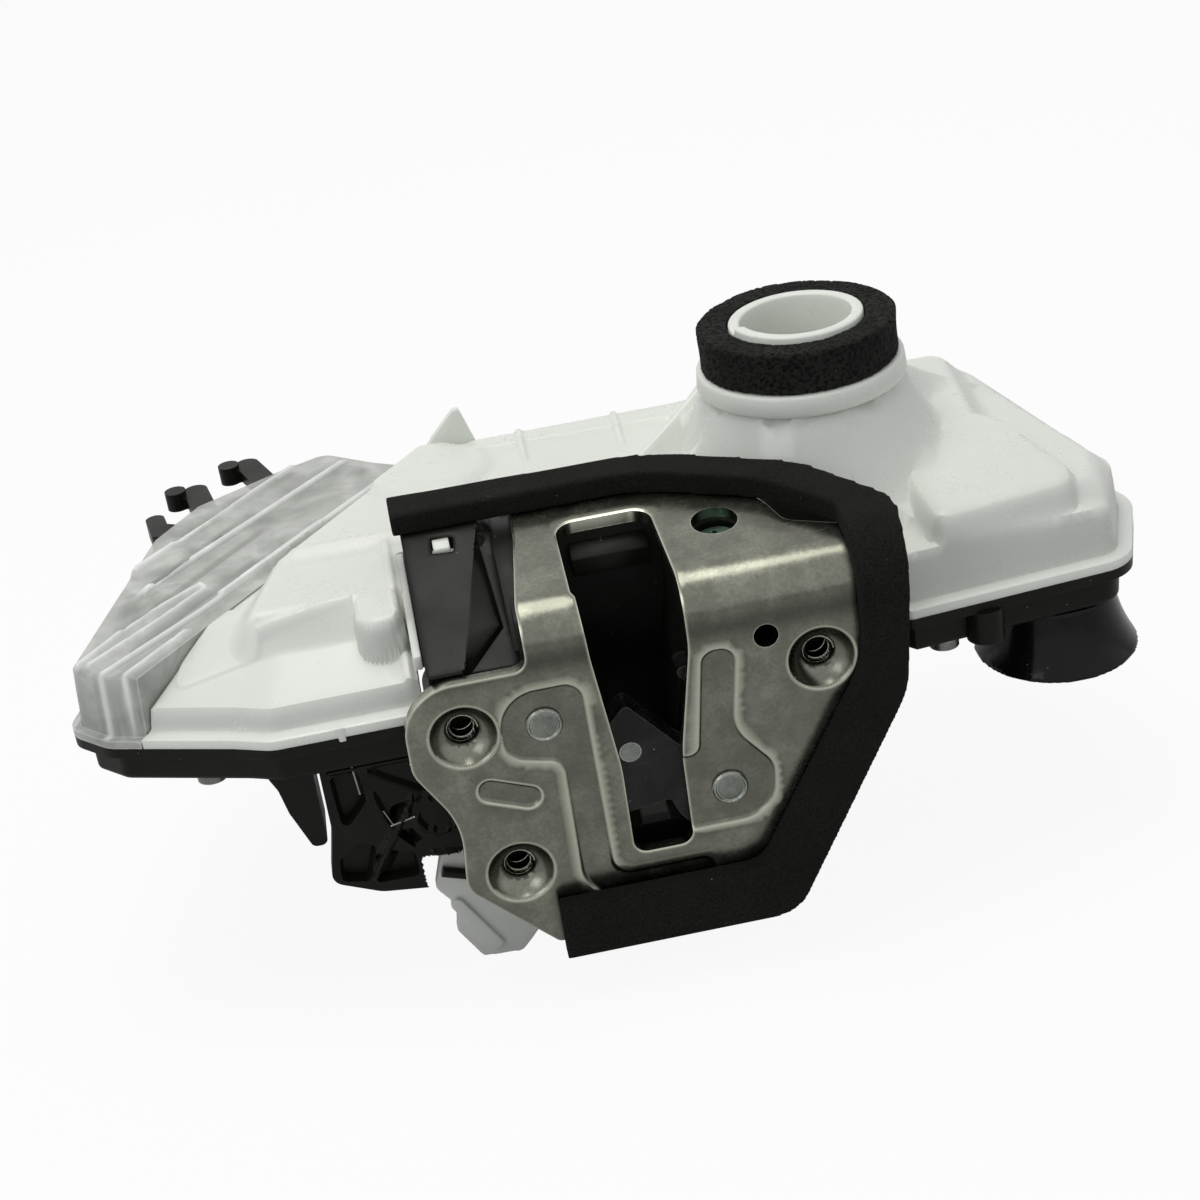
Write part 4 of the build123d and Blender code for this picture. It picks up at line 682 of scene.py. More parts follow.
def pressed_plate():
    """The angled plate as pressed from sheet: ribs, bean, countersunk dimples, holes and striker slot."""
    outer = unrolled(PLATE_FRONT, PLATE_FRONT_R, PLATE_TOP, PLATE_TOP_R)
    slot = unrolled(SLOT_FRONT, SLOT_FRONT_R, SLOT_TOP, SLOT_TOP_R)
    ribs = [rounded(LONG_RIB, LONG_RIB_R, 0.6), rounded(SHORT_RIB, SHORT_RIB_R, 0.6),
            rounded(BEAN, BEAN_R, 0.5)]

    def ring(centre, radius, step=0.6):
        count = max(16, int(2 * math.pi * radius / step))
        return [Vector((centre[0] + radius * math.cos(2 * math.pi * k / count),
                        centre[1] + radius * math.sin(2 * math.pi * k / count))) for k in range(count)]

    driver = (DRIVER_HOLE[0], rise_of_depth(DRIVER_HOLE[1]))
    holes = [slot, ring(GAUGE_HOLE, GAUGE_RADIUS, 0.4), ring(driver, DRIVER_RADIUS)]
    holes += [ring(at, THREAD_RADIUS, 0.4) for at in SCREW_POINTS]
    loops = [outer] + holes
    loose = []
    for rib in ribs:
        for off in (-0.55, -0.25, 0.05, 0.35, 0.6, 0.95):
            for a, b, c in zip(rib[-1:] + rib[:-1], rib, rib[1:] + rib[:1]):
                along = (c - a).normalized()
                loose.append(b + Vector((along.y, -along.x)) * off)
    for at in SCREW_POINTS:
        for radius in (LIP_RADIUS, 7.5, 7.25, 7.05, 6.85, 6.6, 6.2, 5.6, 4.9, 4.3, 3.9, 3.6, 3.3, 3.0, 2.75):
            loose += ring(at, radius, 0.6)
    loose += rows_along(outer, (-0.2, -0.4, -0.65)) + rows_along(slot, (0.2, 0.4, 0.65))
    pitch = 1.15
    fixed = np.array([(p.x, p.y) for loop in loops for p in loop] + [(p.x, p.y) for p in loose])
    rows = np.arange(-47.0, 73.0, pitch * 0.866)
    grid = np.array([(x + (k % 2) * pitch / 2, y) for k, y in enumerate(rows)
                     for x in np.arange(-50.0, 59.0, pitch)])
    order = np.round(fixed / 0.8).astype(int)
    taken = {(a + i, b + j) for a, b in order for i in (-1, 0, 1) for j in (-1, 0, 1)}
    cells = np.round(grid / 0.8).astype(int)
    grid = grid[[tuple(c) not in taken for c in cells]]
    soft = np.array([(p.x, p.y) for p in loose])
    spare = np.concatenate([soft, grid])
    spare = spare[inside(spare, outer)]
    for hole in holes:
        spare = spare[distance(spare, hole) > 0.12]
    spare = spare[distance(spare, outer) < -0.12]
    at, faces = joined_up(loops, spare)
    depth = np.zeros(len(at))
    pressed = np.zeros(len(at))
    # masks for the plate's colour: painted highlight and painted shade
    rubbed = np.zeros(len(at))
    # painted reflection: a dark band across the plate just below the bend
    shaded = 0.80 * eased(1 - np.abs(at[:, 1] - 21.8) / 5.2)
    for rib in ribs:
        off = distance(at, rib)
        pressed = np.maximum(pressed, eased(0.5 - off / 1.1))
        # painted highlight: a bright line along the top of each rib's slope
        rubbed = np.maximum(rubbed, 0.8 * eased(1 - np.abs(off - 0.45) / 0.42))
        # painted shade: rib hollows darker, and a soft dark band beside each rib
        shaded = np.maximum(shaded, np.where(off < 0.2, 0.22, 0.34 * eased(1 - np.abs(off - 1.5) / 1.7)))
    depth += EMBOSS * pressed
    for edge in (outer, slot):
        off = np.abs(distance(at, edge))
        depth += 0.28 * eased(1 - off / 0.55)
        # painted highlight along the rounded edges of the plate and the slot
        rubbed = np.maximum(rubbed, 0.75 * eased(1 - off / 0.55))
    for cx, cy in SCREW_POINTS:
        radius = np.hypot(at[:, 0] - cx, at[:, 1] - cy)
        share = np.clip((DIMPLE_RADIUS - radius) / (DIMPLE_RADIUS - THROAT_RADIUS), 0, 1)
        bowl = 3.0 * (1 - (1 - share) ** 1.7) + 1.9 * eased((THROAT_RADIUS + 0.1 - radius) / 1.2)
        lip = 0.35 * eased((LIP_RADIUS - radius) / 1.6)
        depth = np.where(radius < LIP_RADIUS, depth * eased((radius - 7.2) / 0.7) + lip + bowl, depth)
        # painted shade: the upper half of each dimple's bowl darker, its throat darkest
        bowl_top_shade = 0.75 * eased(0.4 + (at[:, 1] - cy) / DIMPLE_RADIUS)
        shaded = np.where(radius < 7.3, np.where(radius < THROAT_RADIUS + 0.2, 0.92, bowl_top_shade), shaded)
        # painted highlight: a bright ring on the dimple's lip
        rubbed = np.where(radius < LIP_RADIUS, 0.8 * eased(1 - np.abs(radius - 7.35) / 0.35), rubbed)
    y, z, ny, nz = np.array([skin_at(s) for s in at[:, 1]]).T

    def layer(extra):
        drop = depth + extra
        return np.column_stack([at[:, 0], y - ny * drop, z - nz * drop])

    return closed_shell("zinc_face_plate", layer(0.0), layer(SHEET), faces, rubbed=rubbed, shaded=shaded)


def finished(mesh, sharp_degrees=38.0):
    """Smooth faces with sharp creases where the form turns by more than the angle."""
    mesh.shade_smooth()
    mesh.set_sharp_from_angle(angle=math.radians(sharp_degrees))
    return mesh


def thread_ridges():
    """Thread turns inside the three collars of the face plate."""
    starts = [(x * MM, 3.9 * MM, z * MM) for x, z in SCREW_POINTS]
    mesh = grown("thread_ridges", WIRE_COILS, starts, {"Start radius": 0.0033, "End radius": 0.00262,
                                                       "Pitch": 0.0010, "Turns": 5.0, "Wire": 0.00028,
                                                       "Sides": 6.0}, zinc)
    # painted shade: the thread turns deep in the holes are darkened in colour
    dark = mesh.attributes.new("shaded", "FLOAT", "POINT")
    dark.data.foreach_set("value", [0.75] * len(mesh.vertices))
    return finished(mesh, 60.0)


def close_rings(shell, rings):
    """Joins rows of vertices, and the last row with the first, into a closed skin that faces outwards."""
    for ring, after in zip(rings, rings[1:] + rings[:1]):
        for j in range(len(ring)):
            n = (j + 1) % len(ring)
            shell.faces.new((ring[j], after[j], after[n], ring[n]))
    bmesh.ops.recalc_face_normals(shell, faces=shell.faces)


def as_mesh(name, shell):
    mesh = bpy.data.meshes.new(name)
    shell.to_mesh(mesh)
    shell.free()
    return mesh


def turned(name, centres, profile, count=48):
    """Closed forms turned about an axis along Y at each centre; a profile point is radius and depth."""
    shell = bmesh.new()
    for x, z in centres:
        close_rings(shell, [[shell.verts.new(((x + r * math.cos(a)) * MM, y * MM, (z + r * math.sin(a)) * MM))
                             for r, y in profile] for a in (2 * math.pi * k / count for k in range(count))])
    return finished(as_mesh(name, shell))


def threaded_collars():
    """Tubes behind the dimples that carry the threads."""
    return turned("threaded_collars", SCREW_POINTS, ((2.75, 5.4), (2.75, 9.1), (3.0, 9.5), (4.2, 9.5),
                                                     (4.5, 9.2), (4.5, 5.6)))


def rivet(name, centre):
    """Rivet with a turned groove inside the rim of its flush head, and a closing head at the back."""
    return turned(name, [centre], ((0.05, -0.12), (2.45, -0.14), (2.75, 0.04), (3.0, 0.04), (3.25, -0.27),
                                   (3.55, -0.27), (3.88, 0.1), (3.88, 0.6), (3.0, 0.6), (3.0, 15.5),
                                   (3.9, 15.5), (3.55, 16.35), (0.05, 16.35)), 56)


def prism(name, outline, low, high, axis="Y"):
    """Straight block with softly broken edges: outline in the plane across the axis, from low to high."""
    shell = bmesh.new()
    ends = [[shell.verts.new(Vector({"X": (at, u, v), "Y": (u, at, v)}[axis]) * MM) for u, v in outline]
            for at in (low, high)]
    shell.faces.new(ends[0])
    shell.faces.new(ends[1][::-1])
    for k in range(len(outline)):
        n = (k + 1) % len(outline)
        shell.faces.new((ends[0][n], ends[0][k], ends[1][k], ends[1][n]))
    bmesh.ops.recalc_face_normals(shell, faces=shell.faces)
    holder = bpy.data.objects.new(name + "_work", as_mesh(name, shell))
    bpy.context.scene.collection.objects.link(holder)
    edge = holder.modifiers.new("edges", "BEVEL")
    edge.width = 0.25 * MM
    edge.segments = 2
    return finished(baked(holder))


# ---------------------------------------------------------------- moulded shells of the case
CASE_RIM = ((61.2, 12.0), (112.0, 17.0), (121.5, 43.0), (103.0, 104.0), (-28.0, 104.0), (-44.0, 116.0),
            (-57.0, 128.0), (-70.0, 122.0), (-92.0, 109.0), (-103.0, 93.0), (-120.5, 33.0),
            (-112.0, 24.0), (-85.0, 13.5), (-77.0, 9.5), (-44.3, 9.5), (-44.3, 47.3), (14.6, 47.3),
            (45.2, 32.3))
CASE_RIM_R = (1.5, 9, 14, 6, 3, 4, 8, 6, 5, 5, 6, 8, 6, 8, 1.2, 1.2, 38, 20)
JOINT_FRONT, JOINT_BACK = Vector((-104.5, 21.0)), Vector((-29.0, 114.0))
PART_Z, RIM_TOP, RIM_WIDTH = 8.0, 10.4, 3.2
SPIGOT = Vector((53.0, 65.0))
FOAM_BORE = 15.35              # radius of the foam ring's hole, a light push on the tube
PLATEAU = ((-38.0, 30.0), (-80.5, 31.0), (-73.0, 53.0), (-36.0, 100.5), (96.0, 100.5), (92.0, 50.5),
           (-38.0, 50.5))
PLATEAU_R = (1, 2.5, 6, 5, 6, 6, 1.5)
# the flanged part of the rim: the edges round the latch have no flange and stand further out here
FLANGED_RIM = ((61.2, 12.0), (112.0, 17.0), (121.5, 43.0), (103.0, 104.0), (-28.0, 104.0), (-44.0, 116.0),
               (-57.0, 128.0), (-70.0, 122.0), (-92.0, 109.0), (-103.0, 93.0), (-120.5, 33.0),
               (-112.0, 24.0), (-85.0, 13.5), (-77.0, 9.5), (-34.0, 9.5), (-34.0, 38.0), (14.6, 38.0),
               (38.0, 24.0))
LEDGE = ((64.4, 15.2), (108.0, 20.4), (115.5, 42.0), (100.0, 100.5), (30.0, 100.5), (30.0, 46.0),
         (48.5, 35.8))
LEDGE_R = (3, 8, 12, 6, 1, 6, 12)
BACK_FIELD = ((30.0, 45.0), (48.5, 36.0), (66.0, 36.0), (70.0, 20.5), (108.5, 25.0), (113.0, 42.0),
              (100.0, 100.5), (30.0, 100.5))
BACK_FIELD_R = (3, 12, 6, 4, 5, 10, 6, 1)
LOBE = ((69.5, 17.6), (101.5, 22.4), (103.5, 30.0), (96.5, 54.0), (89.5, 62.5), (79.5, 55.5),
        (68.6, 39.0))
LOBE_R = (3, 4, 8, 6, 5, 14, 14)
PAD = ((-96.0, 26.5), (-76.0, 28.2), (-77.5, 46.2), (-90.0, 47.8))
PAD_R = (2, 1.5, 6, 2)
BOSS_FRONT, BOSS_BACK = (-50.2, 25.5), (-50.2, 44.0)          # crest line of the round boss
MOUND = (-33.5, 84.5)
COVER_WALL, WING_WALL = 2.2, 1.8


def joint_side(point, gap):
    """How far a point lies from the joint of cover and wing, less a gap; positive on the cover's side."""
    along = (JOINT_BACK - JOINT_FRONT).normalized()
    off = point - JOINT_FRONT
    return off.x * along.y - off.y * along.x - gap


def cut_along_joint(outline, side):
    """Part of an outline on one side of the joint (1 cover, -1 wing)."""
    kept = []
    for a, b in zip(outline, outline[1:] + outline[:1]):
        da = joint_side(a, 0.0) * side - 0.2
        db = joint_side(b, 0.0) * side - 0.2
        if da >= 0:
            kept.append(a)
        if (da >= 0) != (db >= 0):
            kept.append(a.lerp(b, da / (da - db)))
    dense = []
    for a, b in zip(kept, kept[1:] + kept[:1]):
        pieces = max(1, math.ceil((b - a).length / 1.2))
        dense += [a.lerp(b, k / pieces) for k in range(pieces)]
    return dense


def rows_along(outline, offsets):
    """Points on rows that follow an outline, moved outwards by each offset."""
    rows = []
    for off in offsets:
        for a, b, c in zip(outline[-1:] + outline[:-1], outline, outline[1:] + outline[:1]):
            along = c - a
            if along.length > 1e-6:
                along.normalize()
                rows.append(b + Vector((along.y, -along.x)) * off)
    return rows


def triangulated(loops, loose, pitch, clear=0.25):
    """Points and triangles of a flat area, first loop outside, the others holes, filled with a grid."""
    outer, holes = loops[0], loops[1:]
    fixed = np.array([(p.x, p.y) for loop in loops for p in loop])
    soft = np.array([(p.x, p.y) for p in loose]) if loose else np.zeros((0, 2))
    low, high = fixed.min(axis=0), fixed.max(axis=0)
    rows = np.arange(low[1], high[1], pitch * 0.866)
    grid = np.array([(x + (k % 2) * pitch / 2, y) for k, y in enumerate(rows)
                     for x in np.arange(low[0], high[0], pitch)])
    cell = pitch * 0.7
    near = {(a + i, b + j) for a, b in np.round(np.concatenate([fixed, soft]) / cell).astype(int)
            for i in (-1, 0, 1) for j in (-1, 0, 1)}
    grid = grid[[tuple(c) not in near for c in np.round(grid / cell).astype(int)]]
    if len(soft):
        tiny = np.round(soft / 0.3).astype(int)
        soft = soft[np.unique(tiny, axis=0, return_index=True)[1]]
    spare = np.concatenate([soft, grid])
    spare = spare[distance(spare, outer) < -clear]
    for hole in holes:
        spare = spare[distance(spare, hole) > clear]
    return joined_up(loops, spare)


def stepped(height, at, outline, top, draft):
    """Raises the area inside an outline to top, with a rounded wall of the given draft."""
    rise = eased(0.5 - distance(at, outline) / draft)
    return np.where(top > height, height + (top - height) * rise, height)


def to_line(at, first, last):
    """Distance of each point to a straight line piece, and the share of the way along it."""
    a, b = np.array(first), np.array(last)
    t = np.clip((at - a) @ (b - a) / ((b - a) @ (b - a)), 0, 1)
    return np.linalg.norm(at - a - t[:, None] * (b - a), axis=1), t


# ridges that run off the tower: start, end, height at both, slope of the flanks
TOWER_RIDGES = (((33.0, 78.0), (8.0, 62.0), 45.0, 31.2, 1.1),
                ((36.5, 62.0), (17.0, 55.0), 44.6, 31.2, 1.1),
                ((60.0, 86.5), (82.0, 99.0), 45.0, 26.0, 1.6),
                ((74.0, 74.0), (100.0, 88.0), 45.0, 25.4, 1.3))
# narrow ribs on the plateau: start, end, height above the ground, half width
PLATEAU_RIBS = (((-22.0, 98.8), (30.0, 98.8), 0.9, 0.9), ((-20.0, 90.8), (24.0, 89.2), 0.9, 0.8),
                ((-10.5, 98.0), (-11.0, 82.0), 0.8, 0.7), ((12.6, 98.0), (11.8, 79.5), 0.8, 0.7),
                ((-46.2, 50.0), (-46.2, 14.0), 0.9, 0.9), ((-76.0, 31.0), (-56.0, 33.0), 0.7, 0.7),
                ((-66.0, 55.0), (-44.0, 55.0), 0.6, 1.0))


def cover_height(at):
    """Height of the white cover's outer skin over the parting plane's points."""
    edge = -distance(at, rounded(FLANGED_RIM, CASE_RIM_R))
    height = np.full(len(at), 20.5)
    arm = np.clip(15.6 + 0.37 * (edge - 4.8), 15.6, 23.4)
    height = np.where(at[:, 0] < -40, arm, height)
    height += 0.55 * eased(0.5 - distance(at, rounded(PAD, PAD_R)) / 0.9)
    height = stepped(height, at, rounded(LEDGE, LEDGE_R), 21.6, 2.0)
    height = stepped(height, at, rounded(BACK_FIELD, BACK_FIELD_R), 25.4, 5.0)
    lobe = 27.6 + 0.10 * np.clip(at[:, 1] - 20.0, 0, 45)
    height = stepped(height, at, rounded(LOBE, LOBE_R), lobe, 3.0)
    plateau = 28.2 + 0.12 * np.clip(at[:, 1] - 34.0, 0, 12) + 1.3 * eased((at[:, 1] - 51.5) / 1.8)
    height = stepped(height, at, rounded(PLATEAU, PLATEAU_R), plateau, 7.5)
    boss, _ = to_line(at, BOSS_FRONT, BOSS_BACK)
    height = np.maximum(height, 28.3 - 0.055 * boss ** 2 - 14.0 * eased((boss - 4.6) / 1.8))
    mound = np.hypot(at[:, 0] - MOUND[0], at[:, 1] - MOUND[1])
    height += 1.5 * eased((15.2 - mound) / 2.6)
    for first, last, tall, half in PLATEAU_RIBS:
        off, _ = to_line(at, first, last)
        height += tall * eased((half + 0.45 - off) / 0.9)
    radius = np.hypot(at[:, 0] - SPIGOT.x, at[:, 1] - SPIGOT.y)
    flare = np.clip((radius - 22.6) / 15.0, 0, 1)
    cone = 45.6 - 21.0 * (1 - (1 - flare) ** 1.75)
    height = np.maximum(height, np.where(radius < 37.6, cone, 0.0))
    for first, last, high, low, slope in TOWER_RIDGES:
        off, t = to_line(at, first, last)
        ridge = high + (low - high) * t ** 0.8 - slope * np.sqrt(np.maximum(off - 0.3, 0) ** 2 + 0.04)
        height = np.where(t < 0.999, np.maximum(height, ridge), height)
    joint = np.array([joint_side(Vector(p), 0.2) for p in at])
    height -= 0.5 * (1 - eased(joint / 0.9))
    wall = eased((edge - RIM_WIDTH + 0.1) / 1.5)
    skirt = RIM_TOP + (height - RIM_TOP) * wall
    return np.where(edge < RIM_WIDTH - 0.1, RIM_TOP - 0.35 * eased(1 - edge / 0.7), skirt)


def white_cover():
    """Cover of the case: skirt and rim, ledge, plateau with ribs, lobe, boss and the cone of the spigot."""
    outer = cut_along_joint(rounded(CASE_RIM, CASE_RIM_R), 1)
    bore = [SPIGOT + Vector((14.0 * math.cos(a), 14.0 * math.sin(a)))
            for a in (2 * math.pi * k / 60 for k in range(60))]
    loose = rows_along(outer, (-0.35, -0.8))
    loose += rows_along(rounded(FLANGED_RIM, CASE_RIM_R), (-3.0, -3.3, -3.6, -4.0, -4.5, -5.1))
    for points, radii, offsets in ((PLATEAU, PLATEAU_R,
                                    (-3.9, -3.3, -2.4, -1.2, 0.0, 1.2, 2.4, 3.3, 3.9)),
                                   (LOBE, LOBE_R, (-1.3, -0.8, -0.3, 0.3, 0.8, 1.3)),
                                   (LEDGE, LEDGE_R, (-1.2, -0.6, 0.0, 0.6, 1.2)),
                                   (PAD, PAD_R, (-0.5, -0.2, 0.2, 0.5))):
        loose += rows_along(rounded(points, radii, 1.0), offsets)
    for ridges, offsets in ((TOWER_RIDGES, (-1.4, -0.7, -0.3, 0, 0.3, 0.7, 1.4)),
                            (PLATEAU_RIBS, (-1.4, -1.05, -0.7, -0.35, 0, 0.35, 0.7, 1.05, 1.4))):
        for first, last, *_ in ridges:
            a, b = Vector(first), Vector(last)
            across = Vector(((b - a).y, -(b - a).x)).normalized()
            count = max(2, int((b - a).length / 1.0))
            loose += [a.lerp(b, k / count) + across * off for k in range(count + 1) for off in offsets]
    for radius in (3.6, 4.4, 4.8, 5.2, 5.6, 6.0, 6.5):
        loose += [Vector((BOSS_FRONT[0] + radius * math.cos(a), BOSS_FRONT[1] + radius * math.sin(a)))
                  for a in (math.pi * (1 + k / (radius * 3)) for k in range(int(radius * 3) + 1))]
        loose += [Vector((BOSS_FRONT[0] + side * radius, BOSS_FRONT[1] + 1.0 + k)) for k in range(14)
                  for side in (-1, 1)]
    at, faces = triangulated([outer, bore], loose, 1.7)
    top = cover_height(at)
    low = np.where(top < RIM_TOP + 0.05, PART_Z, np.maximum(PART_Z, top - COVER_WALL))
    return finished(closed_shell("white_cover", np.column_stack([at, top]), np.column_stack([at, low]),
                                 faces), 50.0)


def white_spigot():
    """Collar and key tube, with the sloping rim that starts at a notch."""
    count, notch = 144, math.radians(196.0)
    rings = []
    for k in range(count):
        a = notch + 2 * math.pi * k / count
        top = 61.5 - 1.5 * (k / count)
        profile = ((12.6, 34.0), (12.6, top - 0.5), (12.75, top - 0.15), (13.1, top), (14.7, top),
                   (15.05, top - 0.15), (15.2, top - 0.5), (15.2, 50.5), (22.6, 50.5), (23.2, 50.3),
                   (23.45, 49.8), (23.75, 46.6), (23.6, 46.0), (23.2, 45.7), (22.0, 45.0), (15.0, 44.6),
                   (14.9, 34.0))
        rings.append([(SPIGOT.x + r * math.cos(a), SPIGOT.y + r * math.sin(a), z) for r, z in profile])
    shell = bmesh.new()
    close_rings(shell, [[shell.verts.new(Vector(p) * MM) for p in ring] for ring in rings])
    return finished(as_mesh("white_spigot", shell), 50.0)


# raised lines of the wing: points along each, height above the ground and half width
WING_LINES = (
    (((-100.9, 64.8), (-53.8, 115.1)), 1.1, 0.8),
    (((-115.2, 33.9), (-103.5, 49.4), (-88.7, 62.2), (-87.6, 59.6), (-98.6, 47.3), (-112.7, 32.9)), 0.9,
     0.6),
    (((-111.7, 25.3), (-88.0, 49.1), (-60.5, 82.0)), 1.0, 0.7),
    (((-105.4, 24.4), (-92.0, 40.5)), 0.8, 0.6),
    (((-84.0, 55.0), (-36.5, 109.5)), 1.2, 0.9),
    (((-106.5, 74.0), (-66.0, 118.5)), 0.9, 0.7),
)
WING_GROOVES = ((9.0, 34.0, 46.0), (17.5, 44.0, 52.0), (26.0, 60.0, 34.0), (34.0, 72.0, 30.0))
# painted shade where the mechanism lies close under the frosted skin: middle and reach of each darker cloud
WING_SHADOWS = ((-97.5, 71.5, 6.0), (-88.0, 80.0, 5.0), (-76.0, 92.0, 6.5), (-66.0, 104.0, 6.0),
                (-58.0, 112.0, 4.0), (-83.0, 63.0, 4.0), (-72.0, 76.0, 5.0), (-104.0, 56.0, 4.0),
                (-92.0, 93.0, 4.5), (-50.0, 108.0, 3.5))
WING_TOP, WING_LIMIT, WING_FOOT = 23.6, 25.0, 9.8
WING_POCKET = ((-101.2, 67.4), (-92.9, 77.2), (-90.8, 75.6), (-99.1, 65.8))


def beside_joint(along, across):
    """Point measured along the joint from its front, and across it into the wing."""
    way = (JOINT_BACK - JOINT_FRONT).normalized()
    return JOINT_FRONT + way * along + Vector((-way.y, way.x)) * across


def frosted_wing_cover():
    """Wing of the case: flat frosted top with raised lines, shallow grooves and a pocket."""
    rim = rounded(CASE_RIM, CASE_RIM_R)
    outer = cut_along_joint(rim, -1)
    loose = rows_along(rim, (-1.9, -2.1, -2.4, -2.8, -3.3, -3.9))
    loose += rows_along(outer, (-0.4, -0.9, -1.25, -1.5))
    lines = list(WING_LINES)
    for across, middle, length in WING_GROOVES:
        ends = [beside_joint(middle + side * (length - 3.0) / 2, across) for side in (-1, 1)]
        lines.append(([tuple(end) for end in ends], -0.55, 0.9))
    for points, _, half in lines:
        for a, b in zip(points, points[1:]):
            a, b = Vector(a), Vector(b)
            side = Vector((-(b - a).y, (b - a).x)).normalized()
            count = max(1, int((b - a).length / 1.1))
            loose += [a.lerp(b, k / count) + side * off for k in range(count + 1)
                      for off in (-half - 0.45, -half, -half / 2, 0, half / 2, half, half + 0.45)]
    pocket = rounded(WING_POCKET, (0.8,) * 4, 0.6)
    loose += rows_along(pocket, (-0.3, 0.0, 0.3))
    at, faces = triangulated([outer], loose, 1.6, 0.2)
    top = np.full(len(at), WING_TOP)
    # masks for the frosted colour: painted highlight and painted shade
    rubbed, shaded = np.zeros(len(at)), np.zeros(len(at))
    for points, tall, half in lines:
        nearest = np.min([to_line(at, a, b)[0] for a, b in zip(points, points[1:])], axis=0)
        crest = eased((half + 0.45 - nearest) / 0.8)
        top += tall * crest
        if tall > 0:
            # painted highlight on the crests of raised lines, painted shade in a band beside them
            rubbed = np.maximum(rubbed, crest)
            shaded = np.maximum(shaded, 0.35 * eased(1 - np.abs(nearest - half - 1.4) / 1.2))
        else:
            # painted shade in the grooves
            shaded = np.maximum(shaded, 0.6 * crest)
    in_pocket = eased(0.5 - distance(at, pocket) / 0.6)
    top -= 1.0 * in_pocket
    # painted shade in the pocket
    shaded = np.maximum(shaded, 0.7 * in_pocket)
    for x, y, reach in WING_SHADOWS:
        # painted shade over the mechanism under the skin
        shaded = np.maximum(shaded, 0.55 * eased(1.15 - np.hypot(at[:, 0] - x, at[:, 1] - y) / reach))
    edge = -distance(at, rim)
    wall = eased((edge - 1.9) / 1.6)
    top = np.minimum(WING_FOOT + (top - WING_FOOT) * wall, WING_LIMIT)
    joint = np.array([-joint_side(Vector(p), 0.0) for p in at])
    top -= 0.4 * (1 - eased((joint - 0.2) / 0.8))
    low = np.where((edge < 1.95) | (joint < 1.4), PART_Z, np.maximum(PART_Z, top - WING_WALL))
    return finished(closed_shell("frosted_wing_cover", np.column_stack([at, top]),
                                 np.column_stack([at, low]), faces, rubbed=rubbed,
                                 shaded=shaded * (1 - rubbed)), 50.0)


def back_fin():
    """Pointed fin that stands at the back of the cover, beside the wing."""
    outline = ((-34.0, 29.0), (-31.0, 33.0), (-25.4, 38.9), (-24.4, 39.3), (-23.6, 38.8), (-21.2, 31.0),
               (-20.6, 29.0))
    return prism("back_fin", outline, 98.4, 100.4)


def side_wall():
    """Upright edge of the cover beside the shoulder panel."""
    outline = ((9.8, 20.0), (9.8, 23.2), (26.0, 24.4), (34.5, 28.0), (46.8, 29.6), (46.8, 20.0))
    return prism("cover_side_wall", outline, -44.5, -42.75, axis="X")


def front_tab():
    """Short tab that hangs from the skirt of the cover, in front of the case."""
    return prism("skirt_tab", ((-63.4, 10.2), (-61.2, 10.2), (-61.4, 6.9), (-62.9, 6.9)), 9.4, 11.0)


PANEL_SLOPE = ((3.1, 21.2), (38.4, 37.2), (46.9, 38.4))   # section of the panel's skin: depth and height
PANEL_LEFT, PANEL_RIGHT, PANEL_DEPTH = -42.45, -22.75, 4.2
PANEL_WINDOW = ((-36.7, 32.9), (-31.8, 32.4), (-31.4, 36.6), (-36.2, 37.3))


def panel_crease(run):
    """Across position of the crease between the panel's matt field and the lower field beside it."""
    return -34.6 + 0.223 * run


